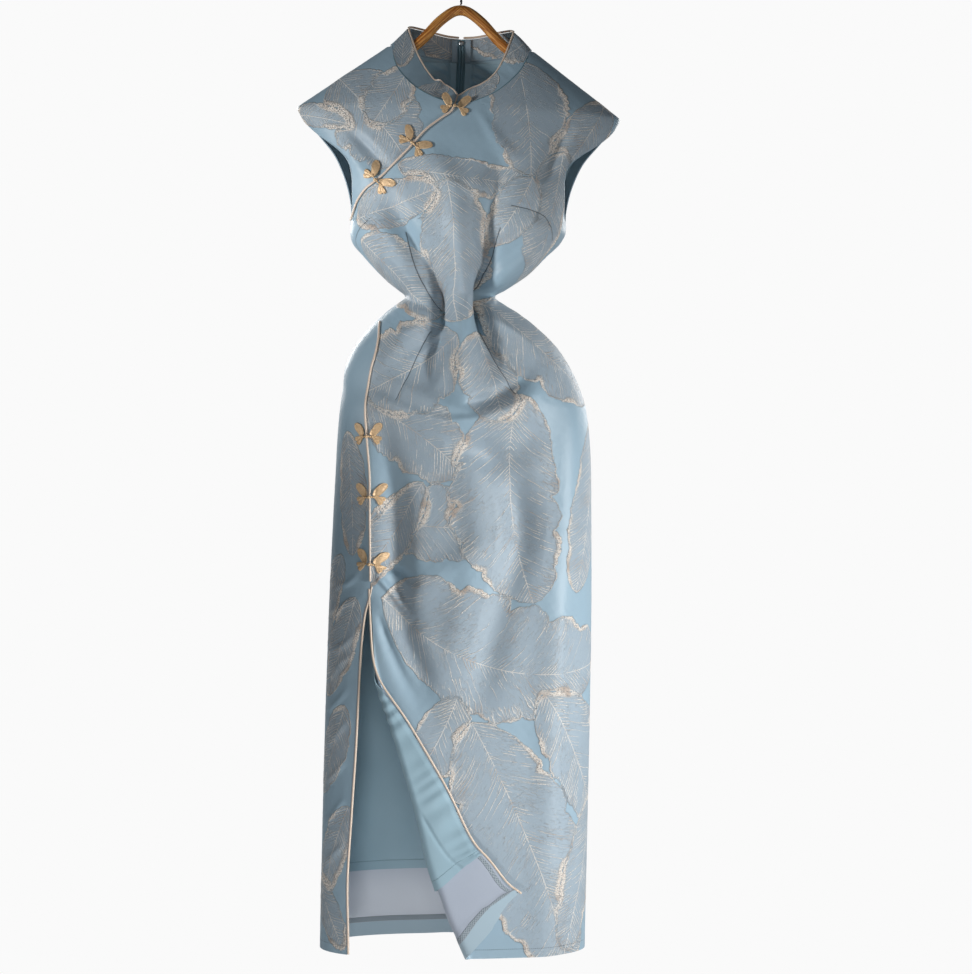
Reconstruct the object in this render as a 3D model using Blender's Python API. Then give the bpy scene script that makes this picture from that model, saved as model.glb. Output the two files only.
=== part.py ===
"""A sleeveless cheongsam hanging on a wooden hanger.

Metres, +Z up, the wearer's front towards -Y. The origin is the bearing point
inside the hanger's hook. The cloth is a closed tube of horizontal sections:
u runs round it, 0 at the centre front, +0.5 and -0.5 at the sides and +1 or
-1 at the centre back, and h is the height above the hem. Every panel is a
wall between two edges given as functions of h, so neighbours share one
surface and stay SEAM apart.
"""

import math

import bpy
import numpy as np
from mathutils import Matrix

NAME = "cheongsam_dress"
HOOK_HEIGHT = 1.270      # bearing point above the hem
CLOTH = 0.0015           # jacquard wall
LINING = 0.0010          # lining wall
COLLAR_WALL = 0.0020     # two layers with interfacing
SEAM = 0.0003            # gap between neighbouring pieces
PIPING_RADIUS = 0.0014
HEM = 0.0
LINING_HEM = 0.085
LINING_TOP = 0.500
SLIT_TOP = 0.462
CAP_TIP = 1.0555         # height where shoulder and armhole meet
SHOULDER_POINT = 1.1395  # height where shoulder and collar meet
BODICE_TILT = 0.037      # the shoulders hang lower on the right

# height, centre x, half width, front depth, back depth, exponent
SECTIONS = (
    (-0.040, -0.0115, 0.1680, 0.0730, 0.0690, 2.30),
    (0.000, -0.0110, 0.1680, 0.0740, 0.0700, 2.30),
    (0.120, -0.0085, 0.1680, 0.0755, 0.0710, 2.30),
    (0.270, -0.0050, 0.1678, 0.0775, 0.0720, 2.30),
    (0.425, -0.0010, 0.1664, 0.0800, 0.0725, 2.30),
    (0.530, 0.0013, 0.1640, 0.0820, 0.0730, 2.30),
    (0.629, 0.0032, 0.1607, 0.0850, 0.0730, 2.25),
    (0.679, 0.0025, 0.1562, 0.0850, 0.0720, 2.25),
    (0.705, 0.0006, 0.1505, 0.0820, 0.0700, 2.20),
    (0.730, -0.0038, 0.1435, 0.0770, 0.0670, 2.20),
    (0.756, -0.0070, 0.1302, 0.0710, 0.0630, 2.15),
    (0.781, -0.0095, 0.1086, 0.0630, 0.0580, 2.10),
    (0.801, -0.0120, 0.0857, 0.0550, 0.0520, 2.05),
    (0.812, -0.0138, 0.0700, 0.0510, 0.0490, 2.00),
    (0.823, -0.0140, 0.0566, 0.0490, 0.0470, 2.00),
    (0.832, -0.0115, 0.0686, 0.0510, 0.0480, 2.00),
    (0.842, -0.0100, 0.0826, 0.0550, 0.0500, 2.05),
    (0.852, -0.0083, 0.0946, 0.0600, 0.0520, 2.10),
    (0.8725, -0.0076, 0.1143, 0.0690, 0.0560, 2.20),
    (0.893, -0.0057, 0.1327, 0.0770, 0.0600, 2.30),
    (0.905, -0.0038, 0.1366, 0.0800, 0.0610, 2.30),
    (0.921, -0.0032, 0.1370, 0.0815, 0.0610, 2.30),
    (0.945, -0.0030, 0.1460, 0.0800, 0.0600, 2.25),
    (0.966, -0.0030, 0.1550, 0.0770, 0.0580, 2.20),
    (0.985, -0.0030, 0.1630, 0.0730, 0.0560, 2.15),
    (1.000, -0.0030, 0.1710, 0.0690, 0.0540, 2.15),
    (1.018, -0.0030, 0.1840, 0.0640, 0.0515, 2.10),
    (1.037, -0.0030, 0.1975, 0.0580, 0.0480, 2.10),
    (1.0555, -0.0030, 0.2060, 0.0530, 0.0450, 2.10),
    (1.080, -0.0020, 0.2120, 0.0440, 0.0400, 2.10),
    (1.100, -0.0015, 0.2150, 0.0370, 0.0360, 2.10),
    (1.140, 0.0000, 0.2180, 0.0230, 0.0250, 2.10),
    (1.175, 0.0000, 0.2200, 0.0180, 0.0180, 2.10),
)
# height, half width: the shoulder line that closes the tube above the caps
SHOULDER = ((CAP_TIP, 0.2055), (1.1405, 0.0885), (1.175, 0.0410))

# height, half width: armhole edges, about the section's centre
ARMHOLE_FRONT = (
    (0.905, 0.1420), (0.915, 0.1362), (0.921, 0.1335), (0.940, 0.1325), (0.966, 0.1320),
    (0.985, 0.1365), (1.000, 0.1505), (1.018, 0.1755), (1.037, 0.1955), (1.048, 0.2020),
    (CAP_TIP, 0.2060), (1.070, 0.2200),
)
ARMHOLE_BACK = (
    (0.905, 0.1420), (0.915, 0.1367), (0.921, 0.1360), (0.946, 0.1390), (0.965, 0.1435),
    (0.985, 0.1510), (1.003, 0.1600), (1.019, 0.1740), (1.035, 0.1880), (1.048, 0.2000),
    (CAP_TIP, 0.2060), (1.070, 0.2200),
)
# height, x: diagonal overlap from the left armpit up to the centre front
DIAGONAL = (
    (0.895, -0.1700), (0.908, -0.1440), (0.918, -0.1362), (0.9345, -0.1290),
    (0.949, -0.1178), (0.962, -0.0992), (0.980, -0.0806), (1.001, -0.0608),
    (1.0229, -0.0422), (1.0384, -0.0236), (1.0488, -0.0105), (1.0590, -0.0062),
)
# height, x: neck seam, right and left of the centre front, then the back
NECK_RIGHT = (
    (1.0597, -0.0060), (1.0610, 0.0120), (1.0660, 0.0250), (1.0755, 0.0430),
    (1.0920, 0.0622), (1.1100, 0.0768), (1.1250, 0.0838), (SHOULDER_POINT, 0.0886),
)
NECK_LEFT = (
    (1.0597, -0.0060), (1.0610, -0.0180), (1.0660, -0.0330), (1.0755, -0.0510),
    (1.0920, -0.0700), (1.1100, -0.0820), (1.1250, -0.0860), (SHOULDER_POINT, -0.0886),
)
NECK_BACK = (
    (1.1280, 0.0000), (1.1287, 0.0200), (1.1306, 0.0400), (1.1335, 0.0600),
    (1.1366, 0.0770), (SHOULDER_POINT, 0.0886),
)
# height, x: left side seam on the front of the skirt; past the side it is u -0.5
LEFT_SEAM = (
    (0.440, -0.1114), (0.467, -0.1114), (0.547, -0.1120), (0.588, -0.1122), (0.643, -0.1158),
    (0.675, -0.1170), (0.701, -0.1145), (0.7286, -0.1096), (0.752, -0.1035),
    (0.770, -0.1015), (0.786, -0.1010), (0.800, -0.0975), (0.808, -0.2000), (0.910, -0.2000),
)
# height, x: the slit's two edges, the front one before it is folded back
SLIT_FRONT = (
    (-0.040, -0.1030), (0.000, -0.1020), (0.177, -0.0970), (0.2675, -0.0980),
    (0.346, -0.1040), (0.400, -0.1083), (SLIT_TOP, -0.1114), (0.600, -0.1114),
)
SLIT_BACK = (
    (-0.040, -0.1410), (0.029, -0.1416), (0.076, -0.1425), (0.182, -0.1366), (0.254, -0.1317),
    (0.325, -0.1280), (0.372, -0.1254), (0.420, -0.1205), (SLIT_TOP, -0.1114), (0.600, -0.1114),
)
# height, x, roll radius: the line along which the front corner is folded back
FOLD_LINE = (
    (-0.030, 0.0330, 0.0080), (0.0075, 0.0135, 0.0075), (0.0284, 0.0040, 0.0070),
    (0.0541, -0.0085, 0.0065), (0.0873, -0.0200, 0.0060), (0.1204, -0.0320, 0.0050),
    (0.1854, -0.0478, 0.0040), (0.2345, -0.0622, 0.0032), (0.2934, -0.0808, 0.0022),
    (0.3327, -0.0935, 0.0032), (0.3695, -0.1022, 0.0045), (0.400, -0.1075, 0.0060),
    (0.440, -0.1160, 0.0070), (0.520, -0.1600, 0.0080),
)
# fold, x, height, rise, half width on its left, half width on its right
FRONT_FOLDS = (
    ("centre ridge", -0.0074, 0.965, 0.000, 0.018, 0.018),
    ("centre ridge", -0.0050, 0.917, 0.005, 0.017, 0.017),
    ("centre ridge", -0.0010, 0.864, 0.009, 0.014, 0.014),
    ("centre ridge", 0.0020, 0.8145, 0.011, 0.012, 0.012),
    ("centre ridge", 0.0040, 0.765, 0.009, 0.013, 0.013),
    ("centre ridge", 0.0050, 0.714, 0.005, 0.016, 0.016),
    ("centre ridge", 0.0050, 0.670, 0.000, 0.020, 0.020),
    ("right valley", 0.0460, 0.915, 0.000, 0.016, 0.016),
    ("right valley", 0.0370, 0.877, -0.008, 0.011, 0.011),
    ("right valley", 0.0290, 0.839, -0.017, 0.008, 0.008),
    ("right valley", 0.0265, 0.8145, -0.021, 0.0075, 0.0075),
    ("right valley", 0.0275, 0.783, -0.015, 0.009, 0.009),
    ("right valley", 0.0450, 0.750, -0.008, 0.013, 0.013),
    ("right valley", 0.0680, 0.712, 0.000, 0.016, 0.016),
    ("left valley", -0.0480, 0.868, 0.000, 0.012, 0.012),
    ("left valley", -0.0310, 0.833, -0.009, 0.009, 0.009),
    ("left valley", -0.0224, 0.811, -0.013, 0.008, 0.008),
    ("left valley", -0.0260, 0.777, -0.009, 0.010, 0.010),
    ("left valley", -0.0410, 0.737, -0.004, 0.014, 0.014),
    ("left valley", -0.0580, 0.700, 0.000, 0.016, 0.016),
    ("left bust fold", -0.1150, 0.935, 0.000, 0.014, 0.014),
    ("left bust fold", -0.0940, 0.897, 0.006, 0.014, 0.014),
    ("left bust fold", -0.0720, 0.866, 0.010, 0.012, 0.012),
    ("left bust fold", -0.0550, 0.843, 0.008, 0.009, 0.009),
    ("left bust fold", -0.0440, 0.822, 0.000, 0.008, 0.008),
    ("right bust fold", 0.1150, 0.912, 0.000, 0.014, 0.014),
    ("right bust fold", 0.0850, 0.872, 0.008, 0.013, 0.013),
    ("right bust fold", 0.0585, 0.848, 0.010, 0.010, 0.010),
    ("right bust fold", 0.0400, 0.829, 0.006, 0.008, 0.008),
    ("right bust fold", 0.0300, 0.812, 0.000, 0.008, 0.008),
    ("bust swag", -0.0600, 0.990, 0.000, 0.020, 0.020),
    ("bust swag", -0.0136, 0.963, 0.004, 0.018, 0.018),
    ("bust swag", 0.0358, 0.951, 0.004, 0.018, 0.018),
    ("bust swag", 0.0820, 0.957, 0.000, 0.018, 0.018),
    ("hip ledge", -0.0900, 0.728, 0.000, 0.009, 0.030),
    ("hip ledge", -0.0690, 0.704, 0.007, 0.009, 0.036),
    ("hip ledge", -0.0380, 0.6866, 0.010, 0.010, 0.042),
    ("hip ledge", 0.0012, 0.6755, 0.011, 0.010, 0.045),
    ("hip ledge", 0.0480, 0.6830, 0.010, 0.010, 0.042),
    ("hip ledge", 0.0827, 0.704, 0.008, 0.009, 0.036),
    ("hip ledge", 0.1020, 0.734, 0.000, 0.009, 0.030),
    ("left hip fold", -0.0360, 0.800, 0.000, 0.010, 0.010),
    ("left hip fold", -0.0570, 0.777, 0.005, 0.010, 0.010),
    ("left hip fold", -0.0800, 0.750, 0.006, 0.014, 0.014),
    ("left hip fold", -0.1000, 0.705, 0.000, 0.016, 0.016),
    ("right hip fold", 0.0336, 0.8045, 0.000, 0.009, 0.009),
    ("right hip fold", 0.0570, 0.783, 0.006, 0.009, 0.009),
    ("right hip fold", 0.0884, 0.755, 0.006, 0.013, 0.013),
    ("right hip fold", 0.1200, 0.708, 0.000, 0.016, 0.016),
    ("skirt dent", 0.0210, 0.655, 0.000, 0.016, 0.016),
    ("skirt dent", 0.0420, 0.609, -0.005, 0.015, 0.015),
    ("skirt dent", 0.0580, 0.566, -0.003, 0.018, 0.018),
    ("skirt dent", 0.0670, 0.520, 0.000, 0.018, 0.018),
    ("thigh fold", -0.0750, 0.435, 0.000, 0.016, 0.016),
    ("thigh fold", -0.0260, 0.473, 0.003, 0.016, 0.016),
    ("thigh fold", 0.0170, 0.500, 0.004, 0.018, 0.018),
    ("thigh fold", 0.0700, 0.523, 0.000, 0.018, 0.018),
    ("slit drag fold", -0.1040, 0.450, 0.000, 0.008, 0.008),
    ("slit drag fold", -0.0850, 0.4275, 0.003, 0.010, 0.010),
    ("slit drag fold", -0.0600, 0.400, 0.003, 0.012, 0.012),
    ("slit drag fold", -0.0250, 0.375, 0.000, 0.014, 0.014),
    ("skirt fall", 0.1050, 0.560, 0.000, 0.022, 0.022),
    ("skirt fall", 0.1120, 0.380, 0.004, 0.022, 0.022),
    ("skirt fall", 0.1080, 0.170, 0.003, 0.024, 0.024),
    ("skirt fall", 0.1000, -0.060, 0.002, 0.024, 0.024),
)
# gathers pulled together at the back of the waist
GATHER_COUNT = 5
GATHER_PITCH = 0.0185
GATHER_DEPTH = 0.011
# height, spread of the pitch, share of the depth, half width
GATHER = (
    (0.640, 3.10, 0.00, 0.018),
    (0.700, 2.50, 0.20, 0.014),
    (0.765, 1.60, 0.65, 0.009),
    (0.815, 1.00, 1.00, 0.0052),
    (0.862, 1.45, 0.70, 0.008),
    (0.910, 1.90, 0.25, 0.012),
    (0.965, 2.10, 0.00, 0.015),
)
# collar stations from the centre front round to the centre back:
# base height, base x right, base x left, top x, top y, top height, share of the full rise
COLLAR = (
    (1.0597, -0.0055, -0.0065, 0.0010, -0.0300, 1.0825, 0.40),
    (1.0610, 0.0120, -0.0180, 0.0110, -0.0295, 1.0832, 0.86),
    (1.0660, 0.0250, -0.0330, 0.0205, -0.0285, 1.0855, 1.00),
    (1.0755, 0.0430, -0.0510, 0.0325, -0.0265, 1.0925, 1.00),
    (1.0920, 0.0622, -0.0700, 0.0460, -0.0215, 1.1065, 1.00),
    (1.1100, 0.0768, -0.0820, 0.0575, -0.0140, 1.1290, 1.00),
    (1.1250, 0.0838, -0.0860, 0.0640, -0.0065, 1.1470, 1.00),
    (SHOULDER_POINT, 0.0886, -0.0886, 0.0685, 0.0010, 1.1610, 1.00),
    (1.1366, 0.0770, -0.0770, 0.0610, 0.0125, 1.1640, 1.00),
    (1.1335, 0.0600, -0.0600, 0.0470, 0.0190, 1.1625, 1.00),
    (1.1306, 0.0400, -0.0400, 0.0310, 0.0225, 1.1590, 1.00),
    (1.1287, 0.0200, -0.0200, 0.0155, 0.0245, 1.1565, 1.00),
    (1.1280, 0.0003, -0.0003, 0.0003, 0.0250, 1.1555, 1.00),
)
SIDE_STATION = 7         # collar row at the shoulder

# frog, x, height, turn in degrees: butterfly fastenings across the piping
FROGS = (
    ("frog_1", -0.0070, 1.0530, -6.0),
    ("frog_2", -0.0590, 1.0035, -43.0),
    ("frog_3", -0.1035, 0.9590, -52.0),
    ("frog_4", -0.1150, 0.6440, 0.0),
    ("frog_5", -0.1120, 0.5690, 0.0),
    ("frog_6", -0.1117, 0.4860, -8.0),
)
FROG_PLATE = 0.0016
FROG_LIFT = 0.0035       # underside over the piping
FROG_SEAT = 0.0004       # underside over the cloth
# outward, up (metres): outline of the wings beyond the arm
WINGS = (
    (0.0065, 0.0023), (0.0068, 0.0055), (0.0082, 0.0100), (0.0120, 0.0146),
    (0.0170, 0.0172), (0.0192, 0.0166), (0.0195, 0.0135), (0.0180, 0.0090),
    (0.0145, 0.0046), (0.0110, 0.0016), (0.0145, 0.0004), (0.0186, -0.0008),
    (0.0192, -0.0045), (0.0170, -0.0088), (0.0132, -0.0086), (0.0095, -0.0050),
    (0.0065, -0.0020),
)
KNOT = (
    (0.0030, 0.0017), (0.0014, 0.0020), (0.0000, 0.0022), (-0.0016, 0.0015), (-0.0022, 0.0000),
    (-0.0016, -0.0015), (0.0000, -0.0022), (0.0014, -0.0020), (0.0030, -0.0017),
)

ZIP_BOTTOM = 0.700
ZIP_HALF = 0.012
SLIDER = (0.0062, 0.0030, 0.0095)
PULL = (0.0042, 0.0011, 0.0240)
PIN_RADIUS = 0.0006

ARM_RADIUS = 0.0065
# x, height: hanger arm inside the neck, from the shoulder up to the apex
ARM_NECK = ((0.0930, 1.1245), (0.0790, 1.1290), (0.0660, 1.1350), (0.0540, 1.1435),
            (0.0420, 1.1555), (0.0280, 1.1710), (0.0120, 1.1835), (0.0000, 1.1870))
HOOK_WIRE = 0.0019
HOOK_TURN = 0.0200


def monotone(table, column, at):
    """Cubic through a table's rows that never overshoots them."""
    xs = np.array([row[0] for row in table], float)
    ys = np.array([row[column] for row in table], float)
    step = np.diff(xs)
    slope = np.diff(ys) / step
    tangent = np.zeros_like(ys)
    tangent[0], tangent[-1] = slope[0], slope[-1]
    same = slope[:-1] * slope[1:] > 0
    mean = np.where(same, slope[:-1] + slope[1:], 1.0)
    tangent[1:-1] = np.where(same, 2 * slope[:-1] * slope[1:] / mean, 0.0)
    at = np.asarray(at, float)
    i = np.clip(np.searchsorted(xs, at) - 1, 0, len(xs) - 2)
    t = np.clip((at - xs[i]) / step[i], 0.0, 1.0)
    t2, t3 = t * t, t * t * t
    return ((2 * t3 - 3 * t2 + 1) * ys[i] + (t3 - 2 * t2 + t) * step[i] * tangent[i]
            + (3 * t2 - 2 * t3) * ys[i + 1] + (t3 - t2) * step[i] * tangent[i + 1])


def linear(table, column, at):
    return np.interp(at, [row[0] for row in table], [row[column] for row in table])


def smooth(low, high, value):
    t = np.clip((np.asarray(value, float) - low) / (high - low), 0.0, 1.0)
    return t * t * (3 - 2 * t)


def section(h):
    """Centre, half width, front depth, back depth and exponent at a height."""
    centre, half, front, back, power = (monotone(SECTIONS, k, h) for k in range(1, 6))
    roof = linear(SHOULDER, 1, h)
    roof = np.where(np.asarray(h) < CAP_TIP, 0.2055 + (CAP_TIP - h) * 1.38, roof)
    half = 0.5 * (half + roof - np.sqrt((half - roof) ** 2 + 0.0020 ** 2))
    return centre, half, front, back, power


def radius(theta, half, depth, power):
    """Polar radius of the superellipse, theta from the centre front or back."""
    return ((np.abs(np.cos(theta)) / depth) ** power
            + (np.abs(np.sin(theta)) / half) ** power) ** (-1.0 / power)


HEIGHTS = np.linspace(-0.040, 1.175, 244)
SHARES = np.linspace(0.0, 1.0, 181)
THETAS = np.linspace(0.0, math.pi / 2, 361)


def arc_tables():
    """Share of the quarter's arc at each theta, its inverse, and the arc's length."""
    tables = []
    _, half, front, back, power = section(HEIGHTS)
    for depth in (front, back):
        r = radius(THETAS[None, :], half[:, None], depth[:, None], power[:, None])
        x, y = r * np.sin(THETAS), r * np.cos(THETAS)
        steps = np.hypot(np.diff(x, axis=1), np.diff(y, axis=1))
        run = np.concatenate([np.zeros((len(HEIGHTS), 1)), np.cumsum(steps, axis=1)], axis=1)
        share = run / run[:, -1:]
        inverse = np.array([np.interp(SHARES, row, THETAS) for row in share])
        tables.append((share, inverse, run[:, -1]))
    return tables


ARCS = arc_tables()


def lookup(table, h, column):
    """Bilinear reading of a table over height and a fractional column."""
    row = np.clip((h - HEIGHTS[0]) / (HEIGHTS[1] - HEIGHTS[0]), 0, len(HEIGHTS) - 1.001)
    column = np.clip(column, 0, table.shape[1] - 1.001)
    i, j = row.astype(int), column.astype(int)
    a, b = row - i, column - j
    return ((1 - a) * ((1 - b) * table[i, j] + b * table[i, j + 1])
            + a * ((1 - b) * table[i + 1, j] + b * table[i + 1, j + 1]))


def quarter(h):
    """Length of cloth from the centre front to the side."""
    return np.interp(h, HEIGHTS, ARCS[0][2])


def u_at(x, h, front=True):
    """The u of the point at x on the front or the back."""
    x, h = np.broadcast_arrays(np.asarray(x, float), np.asarray(h, float))
    centre, half, deep, back, power = section(h)
    depth = deep if front else back
    ratio = np.clip((x - centre) / half, -1.0, 1.0)
    y = depth * np.maximum(1 - np.abs(ratio) ** power, 0.0) ** (1 / power)
    theta = np.arctan2(np.abs(ratio) * half, y)
    share = lookup(ARCS[0 if front else 1][0], h, theta / THETAS[1])
    share = np.where(np.abs(ratio) >= 1.0, 1.0, share)
    side = np.where(ratio < 0, -1.0, 1.0)
    return side * (0.5 * share if front else 1.0 - 0.5 * share)


def fold_paths(rows):
    """Each fold's rows as short segments of a smooth path."""
    paths = []
    for name in dict.fromkeys(row[0] for row in rows):
        knots = np.array([row[1:] for row in rows if row[0] == name], float)
        ends = np.vstack([2 * knots[0] - knots[1], knots, 2 * knots[-1] - knots[-2]])
        t = np.linspace(0, 1, 6)[:-1, None]
        path = []
        for a, b, c, d in zip(ends, ends[1:], ends[2:], ends[3:]):
            path.append(0.5 * (2 * b + (c - a) * t + (2 * a - 5 * b + 4 * c - d) * t * t
                               + (3 * b - a - 3 * c + d) * t ** 3))
        paths.append(np.vstack(path + [knots[-1:]]))
    return paths


def gather_rows():
    rows = []
    for k in range(GATHER_COUNT):
        place = (k - (GATHER_COUNT - 1) / 2) * GATHER_PITCH
        for height in np.linspace(GATHER[0][0], GATHER[-1][0], 16):
            centre, spread, share, half = (
                float(monotone(rows_of, k, height)) for rows_of, k in
                ((SECTIONS, 1), (GATHER, 1), (GATHER, 2), (GATHER, 3)))
            rows.append((f"gather {k}", place * spread + centre, height,
                         -GATHER_DEPTH * share, half, half))
    return rows


FRONT_PATHS = fold_paths(FRONT_FOLDS)
BACK_PATHS = fold_paths(gather_rows())


def rise(paths, x, h):
    """Sum of the folds: each a bell across its path, uneven in width and height."""
    total = np.zeros_like(x)
    for path in paths:
        reach = 3.2 * path[:, 3:].max()
        low, high = path[:, :2].min(0) - reach, path[:, :2].max(0) + reach
        near = (x > low[0]) & (x < high[0]) & (h > low[1]) & (h < high[1])
        if not near.any():
            continue
        px, ph = x[near], h[near]
        best = np.full(px.shape, 1e9)
        bell = np.zeros_like(px)
        for a, b in zip(path[:-1], path[1:]):
            along = b[:2] - a[:2]
            t = np.clip(((px - a[0]) * along[0] + (ph - a[1]) * along[1]) / (along @ along), 0, 1)
            dx, dh = px - a[0] - t * along[0], ph - a[1] - t * along[1]
            away = dx * dx + dh * dh
            left = along[0] * dh - along[1] * dx > 0
            row = a + t[:, None] * (b - a)
            width = np.where(left, row[:, 3], row[:, 4])
            closer = away < best
            best = np.where(closer, away, best)
            bell = np.where(closer, row[:, 2] * np.exp(-away / width ** 2), bell)
        total[near] += bell
    return total


def tilt(h):
    return BODICE_TILT * smooth(0.860, 1.020, h)


def surface(u, h):
    """Outer face of the cloth at (u, h), unfolded at the slit."""
    u, h = np.broadcast_arrays(np.asarray(u, float), np.asarray(h, float))
    centre, half, deep, back, power = section(h)
    side = np.where(u < 0, -1.0, 1.0)
    share = np.abs(u) * 2
    front = share <= 1
    share = np.where(front, share, 2 - share)
    column = share / SHARES[1]
    theta = np.where(front, lookup(ARCS[0][1], h, column), lookup(ARCS[1][1], h, column))
    depth = np.where(front, deep, back)
    r = radius(theta, half, depth, power)
    x = r * np.sin(theta)
    y = r * np.cos(theta)
    nx = (x / half) ** (power - 1) / half
    ny = (y / depth) ** (power - 1) / depth
    size = np.hypot(nx, ny)
    nx, ny = side * nx / size, np.where(front, -ny, ny) / size
    x, y = centre + side * x, np.where(front, -y, y)
    inner = smooth(0.0, 0.55, np.abs(y) / depth)
    out = np.where(front, rise(FRONT_PATHS, x, h), rise(BACK_PATHS, x, h)) * inner
    x, y = x + nx * out, y + ny * out
    return np.stack([x, y, h - HOOK_HEIGHT - tilt(h) * x], axis=-1)


def wrapped(u, h):
    """The surface with u carried round past the centre back."""
    return surface(np.where(u > 1, u - 2, np.where(u < -1, u + 2, u)), h)


def facing(shape, u, h):
    """Unit normal of a surface function, pointing out of the tube."""
    step = 2e-4
    across = shape(u + step, h) - shape(u - step, h)
    up = shape(u, h + step) - shape(u, h - step)
    out = np.cross(across, up)
    return out / np.linalg.norm(out, axis=-1, keepdims=True)


def fold_line():
    """The fold line in cloth coordinates: distance round, height, radius, left normal."""
    heights = np.linspace(FOLD_LINE[0][0], FOLD_LINE[-1][0], 70)
    x = monotone(FOLD_LINE, 1, heights)
    round_ = u_at(x, heights) * 2 * quarter(heights)
    points = np.stack([round_, heights], axis=1)
    along = np.gradient(points, axis=0)
    along /= np.linalg.norm(along, axis=1, keepdims=True)
    left = np.stack([-along[:, 1], along[:, 0]], axis=1)
    return np.hstack([points, monotone(FOLD_LINE, 2, heights)[:, None], left])


LINE = fold_line()


def folded(u, h):
    """The front with its corner rolled outwards about the fold line."""
    u, h = np.broadcast_arrays(np.asarray(u, float), np.asarray(h, float))
    out = surface(u, h)
    flat = np.stack([u * 2 * quarter(h), h], axis=-1)
    low = (h < 0.520) & (flat[..., 0] < 0.06)
    if not low.any():
        return out
    q = flat[low]
    best = np.full(len(q), 1e9)
    foot = np.zeros((len(q), 5))
    for a, b in zip(LINE[:-1], LINE[1:]):
        along = (b - a)[:2]
        t = np.clip(((q - a[:2]) @ along) / (along @ along), 0, 1)
        row = a + t[:, None] * (b - a)
        away = ((q - row[:, :2]) ** 2).sum(1)
        closer = away < best
        best = np.where(closer, away, best)
        foot = np.where(closer[:, None], row, foot)
    point, turn, left = foot[:, :2], foot[:, 2], foot[:, 3:]
    left = left / np.linalg.norm(left, axis=1, keepdims=True)
    past = ((q - point) * left).sum(1)
    rolled = past > 0

    def on_cloth(p):
        return p[:, 0] / (2 * quarter(p[:, 1])), p[:, 1]

    base_u, base_h = on_cloth(point)
    base = surface(base_u, base_h)
    step_u, step_h = on_cloth(point + left * 1e-4)
    aside = (surface(step_u, step_h) - base) / 1e-4
    out_of = facing(surface, base_u, base_h)
    angle = np.clip(past / turn, 0.0, math.pi)
    curl = (base + aside * (turn * np.sin(angle))[:, None]
            + out_of * (turn * (1 - np.cos(angle)))[:, None])
    land = point - left * np.maximum(past - math.pi * turn, 0.0)[:, None]
    land_u, land_h = on_cloth(land)
    over = surface(land_u, land_h) + facing(surface, land_u, land_h) * (2 * turn)[:, None]
    placed = np.where((past > math.pi * turn)[:, None], over, curl)
    kept = out[low]
    out[low] = np.where(rolled[:, None], placed, kept)
    return out


def shifted(table, gap):
    """An edge given as height and x, moved to its right by a gap (left if negative)."""
    points = np.array([row[:2] for row in table], float)
    along = np.gradient(points, axis=0)
    along /= np.linalg.norm(along, axis=1, keepdims=True)
    moved = np.stack([points[:, 0] - along[:, 1] * gap, points[:, 1] + along[:, 0] * gap], axis=1)
    moved[:, 0] = np.maximum.accumulate(moved[:, 0] + np.arange(len(moved)) * 1e-7)
    return moved


def edge_u(table, h, gap, front=True):
    return u_at(monotone(shifted(table, gap), 1, h), h, front)


def about_centre(table, side):
    """An armhole row's half width as an x on the given side."""
    return tuple((row[0], float(monotone(SECTIONS, 1, row[0])) + side * row[1]) for row in table)


def nudge(h, gap):
    """A gap in metres as a step of u."""
    return gap / (2 * quarter(h))


ROOT = bpy.data.collections.new(NAME)


def clear_scene():
    for item in list(bpy.data.objects):
        bpy.data.objects.remove(item, do_unlink=True)
    bpy.context.scene.collection.children.link(ROOT)


def material(name, colour, roughness, metallic=0.0):
    made = bpy.data.materials.new(name)
    made.use_nodes = True
    shader = made.node_tree.nodes["Principled BSDF"]
    shader.inputs["Base Color"].default_value = (*colour, 1.0)
    shader.inputs["Roughness"].default_value = roughness
    shader.inputs["Metallic"].default_value = metallic
    return made


def add_object(name, data, made):
    item = bpy.data.objects.new(name, data)
    item.data.materials.append(made)
    ROOT.objects.link(item)
    return item


def closed_wall(name, outer, inner, made):
    """A wall between two matching grids of points, closed along its four edges."""
    rows, columns = outer.shape[:2]
    count = rows * columns
    index = np.arange(count).reshape(rows, columns)
    a, b, c, d = index[:-1, :-1], index[:-1, 1:], index[1:, 1:], index[1:, :-1]
    sides = np.concatenate([np.stack([a, b, c], -1).reshape(-1, 3),
                            np.stack([a, c, d], -1).reshape(-1, 3)])
    faces = sides.tolist() + (sides[:, ::-1] + count).tolist()
    for line in (index[0, ::-1], index[-1, :], index[:, 0], index[::-1, -1]):
        faces += np.stack([line[:-1], line[1:], line[1:] + count, line[:-1] + count],
                          -1).tolist()
    mesh = bpy.data.meshes.new(name)
    points = np.concatenate([outer.reshape(-1, 3), inner.reshape(-1, 3)])
    mesh.from_pydata(points.tolist(), [], faces)
    mesh.update()
    mesh.shade_smooth()
    return add_object(name, mesh, made)


def cloth(name, shape, u, h, made, start=0.0, thick=CLOTH):
    """A panel's wall from a grid of (u, h), from start to start + thick inside its face."""
    outer, out_of = shape(u, h), facing(shape, u, h)
    return closed_wall(name, outer - out_of * start, outer - out_of * (start + thick), made)


def grid(heights, left, right, columns):
    """u and h over rows of heights between two edges."""
    shares = np.linspace(0.0, 1.0, columns + 1)
    u = left[:, None] + (right - left)[:, None] * shares
    return u, np.repeat(heights[:, None], columns + 1, axis=1)


def tube(name, path, thick, made, sides=1):
    """A cord of round section through the points of a path."""
    curve = bpy.data.curves.new(name, "CURVE")
    curve.dimensions = "3D"
    curve.bevel_depth = thick
    curve.bevel_resolution = sides
    curve.use_fill_caps = True
    spline = curve.splines.new("POLY")
    spline.points.add(len(path) - 1)
    for point, place in zip(spline.points, path):
        point.co = (*place, 1.0)
    return add_object(name, curve, made)


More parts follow.
